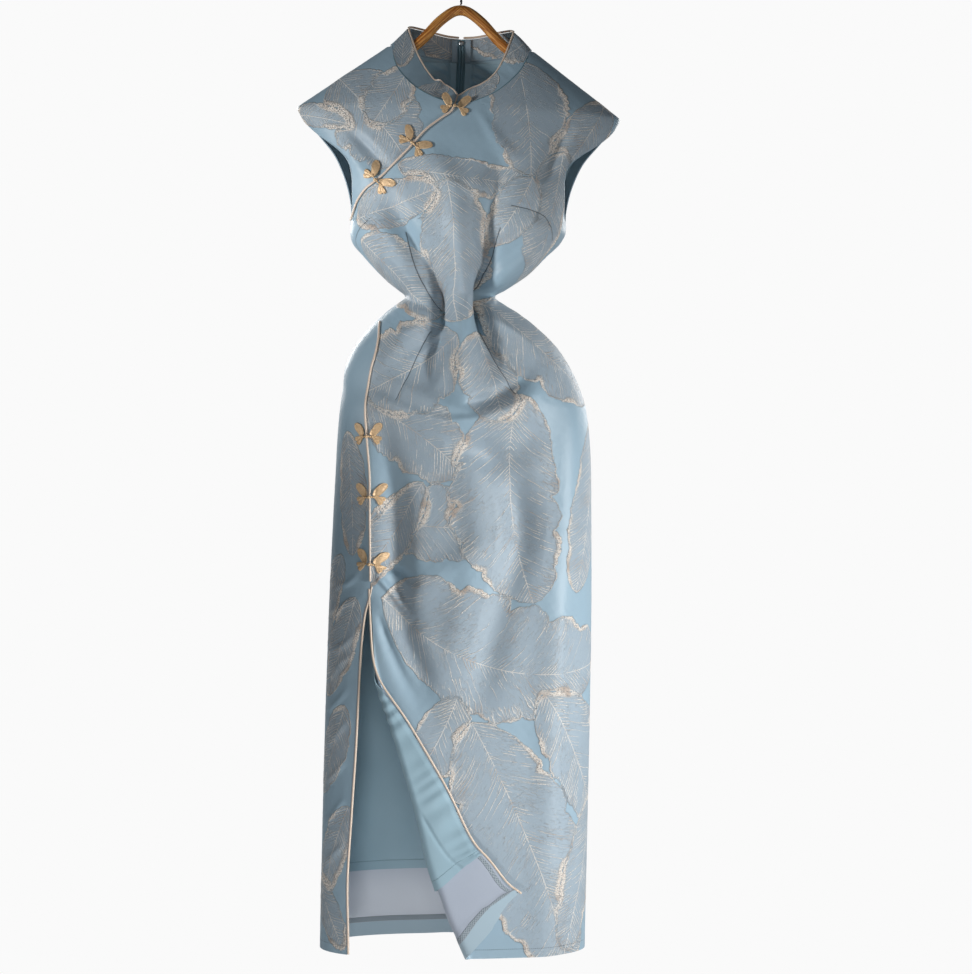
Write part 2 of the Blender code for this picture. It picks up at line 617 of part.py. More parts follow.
def even(path, count):
    """The same path with evenly spaced points."""
    run = np.concatenate([[0], np.cumsum(np.linalg.norm(np.diff(path, axis=0), axis=1))])
    at = np.linspace(0, run[-1], count)
    return np.stack([np.interp(at, run, path[:, k]) for k in range(3)], axis=1)


# ---------------------------------------------------------------- panels
HALF = SEAM / 2
BODY_ROWS = (LINING_TOP, 0.545, 0.590, 0.630, 0.655, 0.670, 0.682, 0.695, 0.715, 0.740,
             0.763, 0.783, 0.799, 0.812, 0.823, 0.833, 0.846, 0.864, 0.885, 0.905)
FRONT_SKIRT = (HEM, 0.030, 0.060, LINING_HEM, 0.130, 0.175, 0.220, 0.265, 0.300, 0.330,
               0.355, 0.380, 0.405, 0.430, 0.461)
BACK_SKIRT = (HEM, LINING_HEM, 0.170, 0.260, 0.350, 0.430, 0.461)
YOKE_ROWS = (0.9235, 0.937, 0.958, 0.980, 1.003, 1.025, 1.045, 1.0592, 1.0615, 1.067,
             1.0765, 1.092, 1.110, 1.125, 1.1360)
BACK_YOKE = (0.918, 0.945, 0.985, 1.020, 1.048, 1.062, 1.090, 1.115, 1.1275, 1.1300,
             1.1335, 1.1360)


def front_left(h):
    """Left edge of the front: slit, side seam, diagonal, then the neck."""
    slit = edge_u(SLIT_FRONT, h, HALF)
    seam = edge_u(LEFT_SEAM, h, HALF)
    seam = np.where(seam <= -0.4995, -0.5 + nudge(h, HALF), seam)
    diagonal = np.maximum(edge_u(DIAGONAL, h, HALF), -0.5 + nudge(h, HALF))
    neck = edge_u(NECK_RIGHT, h, HALF)
    return np.where(h < SLIT_TOP, slit, np.where(h < 0.906, seam,
                    np.where(h < 1.0597, diagonal, neck)))


def back_edge_left(h):
    """Front-lying edge of the left back: slit edge, side seam, armhole, shoulder."""
    slit = edge_u(SLIT_BACK, h, -HALF)
    seam = edge_u(LEFT_SEAM, h, -HALF)
    seam = np.where(seam <= -0.4995, -0.5 - nudge(h, HALF), seam)
    hole = edge_u(about_centre(ARMHOLE_BACK, -1), h, 0.0, False)
    hole = np.minimum(hole, -0.5 - nudge(h, HALF))
    return np.where(h < SLIT_TOP, slit, np.where(h < 0.912, seam, hole))


def armhole_right(h):
    hole = edge_u(about_centre(ARMHOLE_FRONT, 1), h, 0.0)
    return np.minimum(np.where(h < 0.912, 0.5, hole), 0.5 - nudge(h, HALF))


def front_grid(heights, flap=6, curl=4, rest=12):
    """The front's grid, its columns gathered at the roll of the folded corner."""
    heights = np.array(heights)
    left, right = front_left(heights), armhole_right(heights)
    u, h = grid(heights, left, right, flap + curl + rest)
    scale = 2 * quarter(heights)
    line, turn, lean = (np.interp(heights, LINE[:, 1], LINE[:, k]) for k in (0, 2, 3))
    end = np.maximum(line + math.pi * turn / lean, left * scale + 0.004)
    line = np.maximum(line, end + 0.004)
    for r in np.nonzero(heights < SLIT_TOP)[0]:
        stops = np.concatenate([
            np.linspace(left[r] * scale[r], end[r], flap + 1)[:-1],
            np.linspace(end[r], line[r], curl + 1)[:-1],
            np.linspace(line[r], right[r] * scale[r], rest + 1)]) / scale[r]
        u[r] += (stops - u[r]) * (1 - smooth(0.360, SLIT_TOP, heights[r]))
    return u, h


def build_front(made):
    u, h = front_grid(FRONT_SKIRT + BODY_ROWS + YOKE_ROWS)
    cloth("front_panel", folded, u, h, made)


def build_shoulder(made):
    heights = np.array(YOKE_ROWS)
    left = np.maximum(edge_u(about_centre(ARMHOLE_FRONT, -1), heights, 0.0),
                      -0.5 + nudge(heights, HALF))
    diagonal = edge_u(DIAGONAL, heights, -HALF)
    neck = edge_u(NECK_LEFT, heights, -HALF)
    right = np.where(heights < 1.0597, diagonal, neck)
    right = np.maximum(right, left + nudge(heights, 0.0018))
    u, h = grid(heights, left, right, 9)
    cloth("front_shoulder", surface, u, h, made)


def back_grids(heights):
    """The right and left backs' grids, meeting at the centre back."""
    heights = np.array(heights)
    edge = back_edge_left(heights)
    neck = edge_u(NECK_BACK, heights, HALF, False)
    centre = 1.0 - nudge(heights, 1.5 * HALF)
    inner = np.where(heights < 1.1280, centre, np.minimum(neck, centre))
    side = np.where(heights < 0.915, 0.5, np.maximum(-edge, 0.5)) + nudge(heights, HALF)
    return grid(heights, side, inner, 11), grid(heights, -inner, edge, 13)


def build_backs(made):
    right, left = back_grids(BACK_SKIRT + BODY_ROWS + BACK_YOKE)
    cloth("back_right", wrapped, *right, made)
    cloth("back_left", wrapped, *left, made)


# ---------------------------------------------------------------- collar
def collar_grid(side, stations, rows):
    """Outer points of one collar half, its bottom row's cloth normals and the rest."""
    count = len(COLLAR)
    at = np.linspace(0, count - 1, stations)
    index = [(k, *row) for k, row in enumerate(COLLAR)]
    base_h = monotone(index, 1, at)
    base_x = monotone(index, 2 if side > 0 else 3, at)
    front = at <= SIDE_STATION
    u = np.where(front, u_at(base_x, base_h), u_at(base_x, base_h, False))
    ridge = np.abs(at - SIDE_STATION) < 1e-6
    u = np.where(ridge, side * 0.5, u)
    base = surface(u, base_h)
    seat = facing(surface, u, base_h)
    rim = np.stack([side * monotone(index, 4, at), monotone(index, 5, at),
                    monotone(index, 6, at) - HOOK_HEIGHT], axis=1)
    rim[:, 2] -= BODICE_TILT * rim[:, 0]
    up = rim - base
    up /= np.linalg.norm(up, axis=1, keepdims=True)
    base = base + up * (4 * SEAM)
    rim = base + (rim - base) * monotone(index, 7, at)[:, None]
    shares = np.linspace(0, 1, rows + 1)[:, None, None]
    outer = base[None] * (1 - shares) + rim[None] * shares
    along = np.gradient(base, axis=0) * side
    out_of = np.cross(along, up)
    out_of /= np.linalg.norm(out_of, axis=1, keepdims=True)
    normals = np.repeat(out_of[None], rows + 1, axis=0)
    lean = seat - out_of * (seat * out_of).sum(1, keepdims=True)
    normals[0] = out_of + lean * 0.6
    return outer, normals, up


def build_collar(made, trim):
    for side, name in ((1, "collar_right"), (-1, "collar_left")):
        outer, normals, up = collar_grid(side, 25, 2)
        inner = outer - normals * COLLAR_WALL
        middle = outer[-1] - normals[-1] * COLLAR_WALL / 2
        along = np.gradient(outer[-1], axis=0)
        away = np.cross(normals[-1], along)
        away /= np.linalg.norm(away, axis=1, keepdims=True)
        away *= np.sign((away * up).sum(1, keepdims=True))
        path = middle + away * (PIPING_RADIUS + 1.5 * SEAM)
        if side < 0:
            outer, inner = outer[:, ::-1], inner[:, ::-1]
        closed_wall(name, outer, inner, made)
        tube("collar_piping_" + name[7:], path[1 if side > 0 else 3:-1], PIPING_RADIUS, trim)


# ---------------------------------------------------------------- piping
def on_seam(table, heights, shape=surface):
    u = u_at(monotone(table, 1, heights), heights)
    lift = PIPING_RADIUS + SEAM
    return shape(u, heights) + facing(shape, u, heights) * lift


def build_piping(trim):
    heights = np.linspace(0.916, 1.0530, 26)
    tube("diagonal_piping", even(on_seam(DIAGONAL, heights), 24), PIPING_RADIUS, trim)

    heights = np.linspace(0.788, 0.470, 30)
    tube("side_piping", even(on_seam(LEFT_SEAM, heights), 24), PIPING_RADIUS, trim)

    low = np.array([0.0015, *FRONT_SKIRT[1:-1]])
    edge = edge_u(SLIT_FRONT, low, HALF) - nudge(low, PIPING_RADIUS + 3 * SEAM)
    path = folded(edge, low) - facing(folded, edge, low) * CLOTH / 2
    tube("slit_piping_front", path, PIPING_RADIUS, trim)

    low = np.array([0.0015, *BACK_SKIRT[1:-1]])
    edge = edge_u(SLIT_BACK, low, -HALF) + nudge(low, PIPING_RADIUS + 1.5 * SEAM)
    path = surface(edge, low) - facing(surface, edge, low) * CLOTH / 2
    tube("slit_piping_back", path, PIPING_RADIUS, trim)


# ---------------------------------------------------------------- frogs
def plate(name, polygons, place, made):
    """A bent plate of polygons that share edges, mapped by place(point, face)."""
    points = list(dict.fromkeys(p for polygon in polygons for p in polygon))
    number = {p: k for k, p in enumerate(points)}
    under = [place(p, 0) for p in points]
    over = [place(p, 1) for p in points]
    count = len(points)
    faces, edges = [], {}
    for polygon in polygons:
        loop = [number[p] for p in polygon]
        faces.append([k + count for k in loop])
        faces.append(loop[::-1])
        for a, b in zip(loop, loop[1:] + loop[:1]):
            edges[(a, b)] = True
    for a, b in edges:
        if (b, a) not in edges:
            faces.append([a, b, b + count, a + count])
    mesh = bpy.data.meshes.new(name)
    mesh.from_pydata([tuple(map(float, p)) for p in under + over], [], faces)
    mesh.update()
    return add_object(name, mesh, made)


def build_frogs(made):
    for name, x0, h0, turn in FROGS:
        centre_u = float(u_at(x0, h0))
        cos, sin = math.cos(math.radians(turn)), math.sin(math.radians(turn))
        scale = 2 * float(quarter(h0))
        for side, half in ((-1, "left"), (1, "right")):
            def place(point, face, side=side):
                out, up = point
                lift = FROG_LIFT + (FROG_SEAT - FROG_LIFT) * float(smooth(0.0028, 0.0066, out))
                dx, dh = side * out, up
                du, dv = dx * cos - dh * sin, dx * sin + dh * cos
                u, h = np.array(centre_u + du / scale), np.array(h0 + dv)
                return surface(u, h) + facing(surface, u, h) * (lift + face * FROG_PLATE)

            wings = WINGS[::-1]
            arm = ((0.0030, -0.0017), (0.0065, -0.0020), (0.0065, 0.0023), (0.0030, 0.0017))
            polygons = [wings, arm]
            if side > 0:
                polygons.append(KNOT)
            if side < 0:
                polygons = [p[::-1] for p in polygons]
            plate(f"{name}_{half}", polygons, place, made)


# ---------------------------------------------------------------- lining
def build_lining(made):
    heights = tuple(row for row in FRONT_SKIRT if row >= LINING_HEM) + (LINING_TOP,)
    u, h = front_grid(heights)
    cloth("lining_front", folded, u, h, made, CLOTH + SEAM, LINING)

    heights = tuple(row for row in BACK_SKIRT if row >= LINING_HEM) + (LINING_TOP,)
    (right, h), (left, _) = back_grids(heights)
    u = np.hstack([right, left[:, 1:-1] + 2])
    h = np.hstack([h, h[:, :1].repeat(12, axis=1)])
    cloth("lining_back", wrapped, u, h, made, CLOTH + SEAM, LINING)

    heights = np.array((0.930, 0.960, 1.000, 1.040, 1.080, 1.1245))
    edge = edge_u(about_centre(ARMHOLE_BACK, 1), heights, 0.0, False) + nudge(heights, 0.014)
    u, h = grid(heights, edge, 2 - edge, 22)
    cloth("lining_bodice", wrapped, u, h, made, CLOTH + 4 * SEAM, LINING)


# ---------------------------------------------------------------- zip
def build_zip(tape, metal):
    heights = np.array((ZIP_BOTTOM, 0.740, 0.780, 0.815, 0.850, 0.890, 0.930, 0.980, 1.030,
                        1.080, 1.124))
    sunk = 1.2 * GATHER_DEPTH * np.interp(heights, [row[0] for row in GATHER],
                                    [row[2] for row in GATHER])
    depth = CLOTH + LINING + 6 * SEAM + sunk
    xs = np.linspace(ZIP_HALF, -ZIP_HALF, 5)
    centre, half, deep, back, power = section(heights)
    aside = xs[None, :] + 0 * centre[:, None]
    y = back[:, None] * (1 - (np.abs(aside) / half[:, None]) ** power[:, None]) ** (
        1 / power[:, None])
    outer = np.stack([aside + centre[:, None], y - depth[:, None],
                      np.repeat(heights[:, None] - HOOK_HEIGHT, 5, axis=1)], axis=-1)
    outer[..., 2] -= tilt(heights)[:, None] * outer[..., 0]
    collar, normals, up = collar_grid(1, 49, 2)
    foot, top = collar[0, -1], collar[-1, -1]
    for share in (0.25, 0.95):
        row = foot + (top - foot) * share
        row = np.stack([xs, np.full(5, row[1] - COLLAR_WALL - 2 * SEAM) - 40 * xs ** 2 * 0.1,
                        np.full(5, row[2])], axis=1)
        outer = np.concatenate([outer, row[None]])
    inner = outer - np.array([0.0, LINING, 0.0])
    closed_wall("zip_tape", outer, inner, tape)

    wide, thick, tall = SLIDER
    seat = top + (foot - top) * 0.30
    face = seat[1] + 3 * SEAM
    half_gap = 0.0026
    pin_z = seat[2] + tall * 0.18
    pin_y = face + thick + 0.0020
    body = bar("zip_slider", (wide, thick, tall), (0.0, face + thick / 2, seat[2]), metal)
    lugs = []
    for side in (-1, 1):
        lugs.append(bar("lug", (0.0008, 0.0036, 0.0026),
                        (side * (half_gap + 0.0004), face + thick + 0.0014, pin_z), metal))
    pin = rod("pin", PIN_RADIUS, 2 * half_gap + 0.0008, (0.0, pin_y, pin_z), metal)
    fused(body, lugs + [pin])

    wide, thick, long = PULL
    hole = PIN_RADIUS + 0.00035
    pull = bar("zip_pull", (wide, thick, long), (0.0, pin_y, pin_z - long / 2 + 0.0016), metal)
    eye = rod("eye", hole, wide + 0.004, (0.0, pin_y, pin_z), metal)
    boss = rod("boss", hole + 0.0006, wide, (0.0, pin_y, pin_z), metal)
    fused(pull, [boss])
    cut(pull, eye)
    return pin_y, pin_z


def bar(name, size, place, made):
    bpy.ops.mesh.primitive_cube_add(size=1.0, location=place)
    item = bpy.context.active_object
    item.name = item.data.name = name
    item.data.transform(Matrix.Diagonal((*size, 1.0)))
    item.data.materials.append(made)
    for owner in list(item.users_collection):
        owner.objects.unlink(item)
    ROOT.objects.link(item)
    return item


def rod(name, thick, length, place, made):
    bpy.ops.mesh.primitive_cylinder_add(vertices=14, radius=thick, depth=length, location=place,
                                        rotation=(0.0, math.pi / 2, 0.0))
    item = bpy.context.active_object
    item.name = item.data.name = name
    item.data.materials.append(made)
    for owner in list(item.users_collection):
        owner.objects.unlink(item)
    ROOT.objects.link(item)
    return item


def boolean(item, tool, operation):
    change = item.modifiers.new(tool.name, "BOOLEAN")
    change.operation = operation
    change.object = tool
    change.solver = "EXACT"
    bpy.context.view_layer.update()
    graph = bpy.context.evaluated_depsgraph_get()
    mesh = bpy.data.meshes.new_from_object(item.evaluated_get(graph))
    item.modifiers.clear()
    item.data = mesh
    bpy.data.objects.remove(tool, do_unlink=True)


def fused(item, tools):
    for tool in tools:
        boolean(item, tool, "UNION")


def cut(item, tool):
    boolean(item, tool, "DIFFERENCE")


# ---------------------------------------------------------------- hanger
def build_hanger(wood, steel):
    heights = np.linspace(1.0705, 1.1150, 9)
    half = []
    for side in (1, -1):
        u = np.full(len(heights), side * 0.5)
        ridge = surface(u, heights)
        drop = CLOTH + SEAM + ARM_RADIUS + 0.0004
        contact = ridge - facing(surface, u, heights) * drop
        contact[:, 1] = 0.0
        neck = np.array([(side * x, 0.0, h - HOOK_HEIGHT - BODICE_TILT * side * x)
                         for x, h in ARM_NECK])
        half.append(np.vstack([contact, neck]))
    path = np.vstack([half[1], half[0][::-1][1:]])
    tube("hanger_arms", even(smoothed(path), 29), ARM_RADIUS, wood, 2)

    foot = 1.1870 + ARM_RADIUS + SEAM - HOOK_HEIGHT
    centre = HOOK_WIRE - HOOK_TURN
    angles = np.radians(np.linspace(-62, 210, 22))
    loop = np.stack([HOOK_TURN * np.cos(angles), np.zeros_like(angles),
                     centre + HOOK_TURN * np.sin(angles)], axis=1)
    stem = np.array([(0.0, 0.0, foot), (0.0, 0.0, foot + 0.012), (0.0, 0.0, foot + 0.022),
                     (0.0030, 0.0, foot + 0.0300)])
    tube("hanger_hook", np.vstack([stem, loop]), HOOK_WIRE, steel, 2)


def smoothed(path):
    """A Catmull-Rom curve through the points."""
    ends = np.vstack([2 * path[0] - path[1], path, 2 * path[-1] - path[-2]])
    t = np.linspace(0, 1, 7)[:-1, None]
    parts = []
    for a, b, c, d in zip(ends, ends[1:], ends[2:], ends[3:]):
        parts.append(0.5 * (2 * b + (c - a) * t + (2 * a - 5 * b + 4 * c - d) * t * t
                            + (3 * b - a - 3 * c + d) * t ** 3))
    return np.vstack(parts + [path[-1:]])


def main():
    clear_scene()
    jacquard = material("jacquard", (0.36, 0.45, 0.52), 0.45)
    lining = material("lining", (0.16, 0.30, 0.35), 0.35)
    piping = material("piping", (0.74, 0.66, 0.56), 0.40)
    gold = material("antique_gold", (0.60, 0.43, 0.24), 0.35, 1.0)
    tape = material("zip_tape", (0.27, 0.38, 0.44), 0.60)
    nickel = material("zip_metal", (0.62, 0.63, 0.64), 0.30, 1.0)
    wood = material("wood", (0.55, 0.30, 0.10), 0.35)
    steel = material("steel", (0.62, 0.62, 0.62), 0.25, 1.0)
    build_front(jacquard)
    build_shoulder(jacquard)
    build_backs(jacquard)
    build_collar(jacquard, piping)
    build_piping(piping)
    build_frogs(gold)
    build_lining(lining)
    build_zip(tape, nickel)
    build_hanger(wood, steel)


main()
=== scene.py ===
import math
import bpy
import numpy as np
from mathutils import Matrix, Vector


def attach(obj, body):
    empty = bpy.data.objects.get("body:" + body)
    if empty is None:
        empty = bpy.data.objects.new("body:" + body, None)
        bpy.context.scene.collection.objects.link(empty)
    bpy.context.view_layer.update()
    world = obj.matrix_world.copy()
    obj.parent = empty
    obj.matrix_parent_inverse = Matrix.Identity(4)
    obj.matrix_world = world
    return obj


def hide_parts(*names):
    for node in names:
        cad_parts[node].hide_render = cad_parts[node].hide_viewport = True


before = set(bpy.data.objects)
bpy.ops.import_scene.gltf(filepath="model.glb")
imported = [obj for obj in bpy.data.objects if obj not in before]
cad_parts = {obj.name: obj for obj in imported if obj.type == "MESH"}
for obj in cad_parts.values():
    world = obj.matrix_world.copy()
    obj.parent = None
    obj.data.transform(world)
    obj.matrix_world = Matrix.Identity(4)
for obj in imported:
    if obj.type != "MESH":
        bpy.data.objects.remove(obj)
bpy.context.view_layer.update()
bodyName = "dress"
print("frame loaded")


def metres(*rows, lengths=5):  # rows in millimetres as metres; the figures past lengths stay
    return tuple(tuple(v / 1000 if k < lengths else v for k, v in enumerate(row)) for row in rows)


def fold(*rows):  # rows of x, height, rise and half width, or both half widths if uneven
    return metres(*((*row, row[-1])[:5] for row in rows))


# the hanging dress
# A closed tube of horizontal sections: u runs round it, 0 at the centre front,
# 0.5 and -0.5 at the sides, 1 or -1 at the centre back. h is the height above the hem.
garment = {
    "hookHeight": 1.270,       # the hook's bearing point above the hem
    "cloth": 0.0015,
    "lining": 0.0010,
    "collarWall": 0.0020,
    "seam": 0.0003,
    "piping": 0.0014,
    # how much of the finer creases' rise is kept: crests, troughs, and troughs at the waist
    "crestScale": 0.85, "troughScale": 1.9, "waistScale": 1.1,
    "liningHem": 0.085,
    "liningTop": 0.500,
    "slitTop": 0.462,
    "frontArm": 0.906, "backArm": 0.912, "armPit": 0.915,   # where the side seams end
    "overlapTop": 1.0597, "neckFoot": 1.1280,
    "capTip": 1.0555, "capHalf": 0.2055, "capSlope": 1.38,
    "bodiceTilt": 0.037,       # the shoulders hang lower on the right
    # height, centre x, half width, front depth, back depth, exponent
    "sections": metres(
        (-40, -11.5, 168, 73, 69, 2.3), (0, -11, 168, 74, 70, 2.3),
        (120, -8.5, 168, 75.5, 71, 2.3), (270, -5, 167.8, 77.5, 72, 2.3),
        (425, -1, 166.4, 80, 72.5, 2.3), (530, 1.3, 164, 82, 73, 2.3),
        (629, 3.2, 160.7, 85, 73, 2.25), (679, 2.5, 156.2, 85, 72, 2.25),
        (705, 0.6, 150.5, 82, 70, 2.2), (730, -3.8, 143.5, 77, 67, 2.2),
        (756, -7, 130.2, 71, 63, 2.15), (781, -9.5, 108.6, 63, 58, 2.1),
        (801, -12, 85.7, 55, 52, 2.05), (812, -13.8, 70, 51, 49, 2), (823, -14, 56.6, 49, 47, 2),
        (832, -11.5, 68.6, 51, 48, 2), (842, -10, 82.6, 55, 50, 2.05),
        (852, -8.3, 94.6, 60, 52, 2.1), (872.5, -7.6, 114.3, 69, 56, 2.2),
        (893, -5.7, 132.7, 77, 60, 2.3), (905, -3.8, 136.6, 80, 61, 2.3),
        (921, -3.2, 137, 81.5, 61, 2.3), (945, -3, 146, 80, 60, 2.25),
        (966, -3, 155, 77, 58, 2.2), (985, -3, 163, 73, 56, 2.15), (1000, -3, 171, 69, 54, 2.15),
        (1018, -3, 184, 64, 51.5, 2.1), (1037, -3, 197.5, 58, 48, 2.1),
        (1055.5, -3, 206, 53, 45, 2.1), (1080, -2, 212, 44, 40, 2.1),
        (1100, -1.5, 215, 37, 36, 2.1), (1140, 0, 218, 23, 25, 2.1), (1175, 0, 220, 18, 18, 2.1)),
    # height, half width: the shoulder line that closes the tube above the caps
    "shoulder": metres(
        (1055.5, 205.5), (1140.5, 88.5), (1175, 41)),
    # height, half width of the armholes about the section's centre
    "armholeFront": metres(
        (905, 142), (915, 136.2), (921, 133.5), (940, 132.5), (966, 132), (985, 136.5),
        (1000, 150.5), (1018, 175.5), (1037, 195.5), (1048, 202), (1055.5, 206), (1070, 220)),
    "armholeBack": metres(
        (905, 142), (915, 136.7), (921, 136), (946, 139), (965, 143.5), (985, 151), (1003, 160),
        (1019, 174), (1035, 188), (1048, 200), (1055.5, 206), (1070, 220)),
    # height, x of each seam and edge
    "diagonal": metres(
        (895, -170), (908, -144), (918, -136.2), (934.5, -129), (949, -117.8), (962, -99.2),
        (980, -80.6), (1001, -60.8), (1022.9, -42.2), (1038.4, -23.6), (1048.8, -10.5),
        (1059, -6.2)),
    "neckRight": metres(
        (1059.7, -6), (1061, 12), (1066, 25), (1075.5, 43), (1092, 62.2), (1110, 76.8),
        (1125, 83.8), (1139.5, 88.6)),
    "neckLeft": metres(
        (1059.7, -6), (1061, -18), (1066, -33), (1075.5, -51), (1092, -70), (1110, -82),
        (1125, -86), (1139.5, -88.6)),
    "neckBack": metres(
        (1128, 0), (1128.7, 20), (1130.6, 40), (1133.5, 60), (1136.6, 77), (1139.5, 88.6)),
    "leftSeam": metres(
        (440, -111.4), (467, -111.4), (547, -112), (588, -112.2), (643, -115.8), (675, -117),
        (701, -114.5), (728.6, -109.6), (752, -103.5), (770, -101.5), (786, -101), (800, -97.5),
        (808, -200), (910, -200)),
    "slitFront": metres(
        (-40, -103), (0, -102), (177, -97), (267.5, -98), (346, -104), (400, -108.3),
        (462, -111.4), (600, -111.4)),
    "slitBack": metres(
        (-40, -141), (29, -141.6), (76, -142.5), (182, -136.6), (254, -131.7), (325, -128),
        (372, -125.4), (420, -120.5), (462, -111.4), (600, -111.4)),
    # height, x, roll radius: the line along which the front corner is folded back
    "foldLine": metres(
        (-30, 33, 8), (7.5, 13.5, 7.5), (28.4, 4, 7), (54.1, -8.5, 6.5), (87.3, -20, 6),
        (120.4, -32, 5), (185.4, -47.8, 4), (234.5, -62.2, 3.2), (293.4, -80.8, 2.2),
        (332.7, -93.5, 3.2), (369.5, -102.2, 4.5), (400, -107.5, 6), (440, -116, 7),
        (520, -160, 8)),
}

# the large folds of the front, pulled together at the waist
mainFolds = {
    "centreRidge": fold(
        (-7.4, 965, 0, 18), (-5, 917, 5, 17), (-1, 864, 9, 14), (2, 814.5, 11, 12),
        (4, 765, 9, 13), (5, 714, 5, 16), (5, 670, 0, 20)),
    "rightValley": fold(
        (46, 915, 0, 16), (37, 877, -8, 11), (29, 839, -17, 8), (26.5, 814.5, -21, 7.5),
        (27.5, 783, -15, 9), (45, 750, -8, 13), (68, 712, 0, 16)),
    "leftValley": fold(
        (-48, 868, 0, 12), (-31, 833, -9, 9), (-22.4, 811, -13, 8), (-26, 777, -9, 10),
        (-41, 737, -4, 14), (-58, 700, 0, 16)),
    "leftBustFold": fold(
        (-115, 935, 0, 14), (-94, 897, 6, 14), (-72, 866, 10, 12), (-55, 843, 8, 9),
        (-44, 822, 0, 8)),
    "rightBustFold": fold(
        (115, 912, 0, 14), (85, 872, 8, 13), (58.5, 848, 10, 10), (40, 829, 6, 8),
        (30, 812, 0, 8)),
    "bustSwag": fold(
        (-60, 990, 0, 20), (-13.6, 963, 4, 18), (35.8, 951, 4, 18), (82, 957, 0, 18)),
    "hipLedge": fold(
        (-90, 728, 0, 9, 30), (-69, 704, 6, 12, 36), (-38, 686.6, 9, 13, 42),
        (1.2, 675.5, 10, 13, 45), (48, 683, 9, 13, 42), (82.7, 704, 8, 9, 36),
        (102, 734, 0, 9, 30)),
    "leftHipFold": fold(
        (-36, 800, 0, 10), (-57, 777, 5, 10), (-80, 750, 6, 14), (-100, 705, 0, 16)),
    "rightHipFold": fold(
        (33.6, 804.5, 0, 9), (57, 783, 6, 9), (88.4, 755, 6, 13), (120, 708, 0, 16)),
    "skirtDent": fold(
        (21, 655, 0, 16), (42, 609, -5, 15), (58, 566, -3, 18), (67, 520, 0, 18)),
    "thighFold": fold(
        (-75, 435, 0, 16), (-26, 473, 3, 16), (17, 500, 4, 18), (70, 523, 0, 18)),
    "slitDragFold": fold(
        (-104, 450, 0, 8), (-85, 427.5, 3, 10), (-60, 400, 3, 12), (-25, 375, 0, 14)),
    "skirtFall": fold(
        (105, 560, 0, 22), (112, 380, 4, 22), (108, 170, 3, 24), (100, -60, 2, 24)),
}
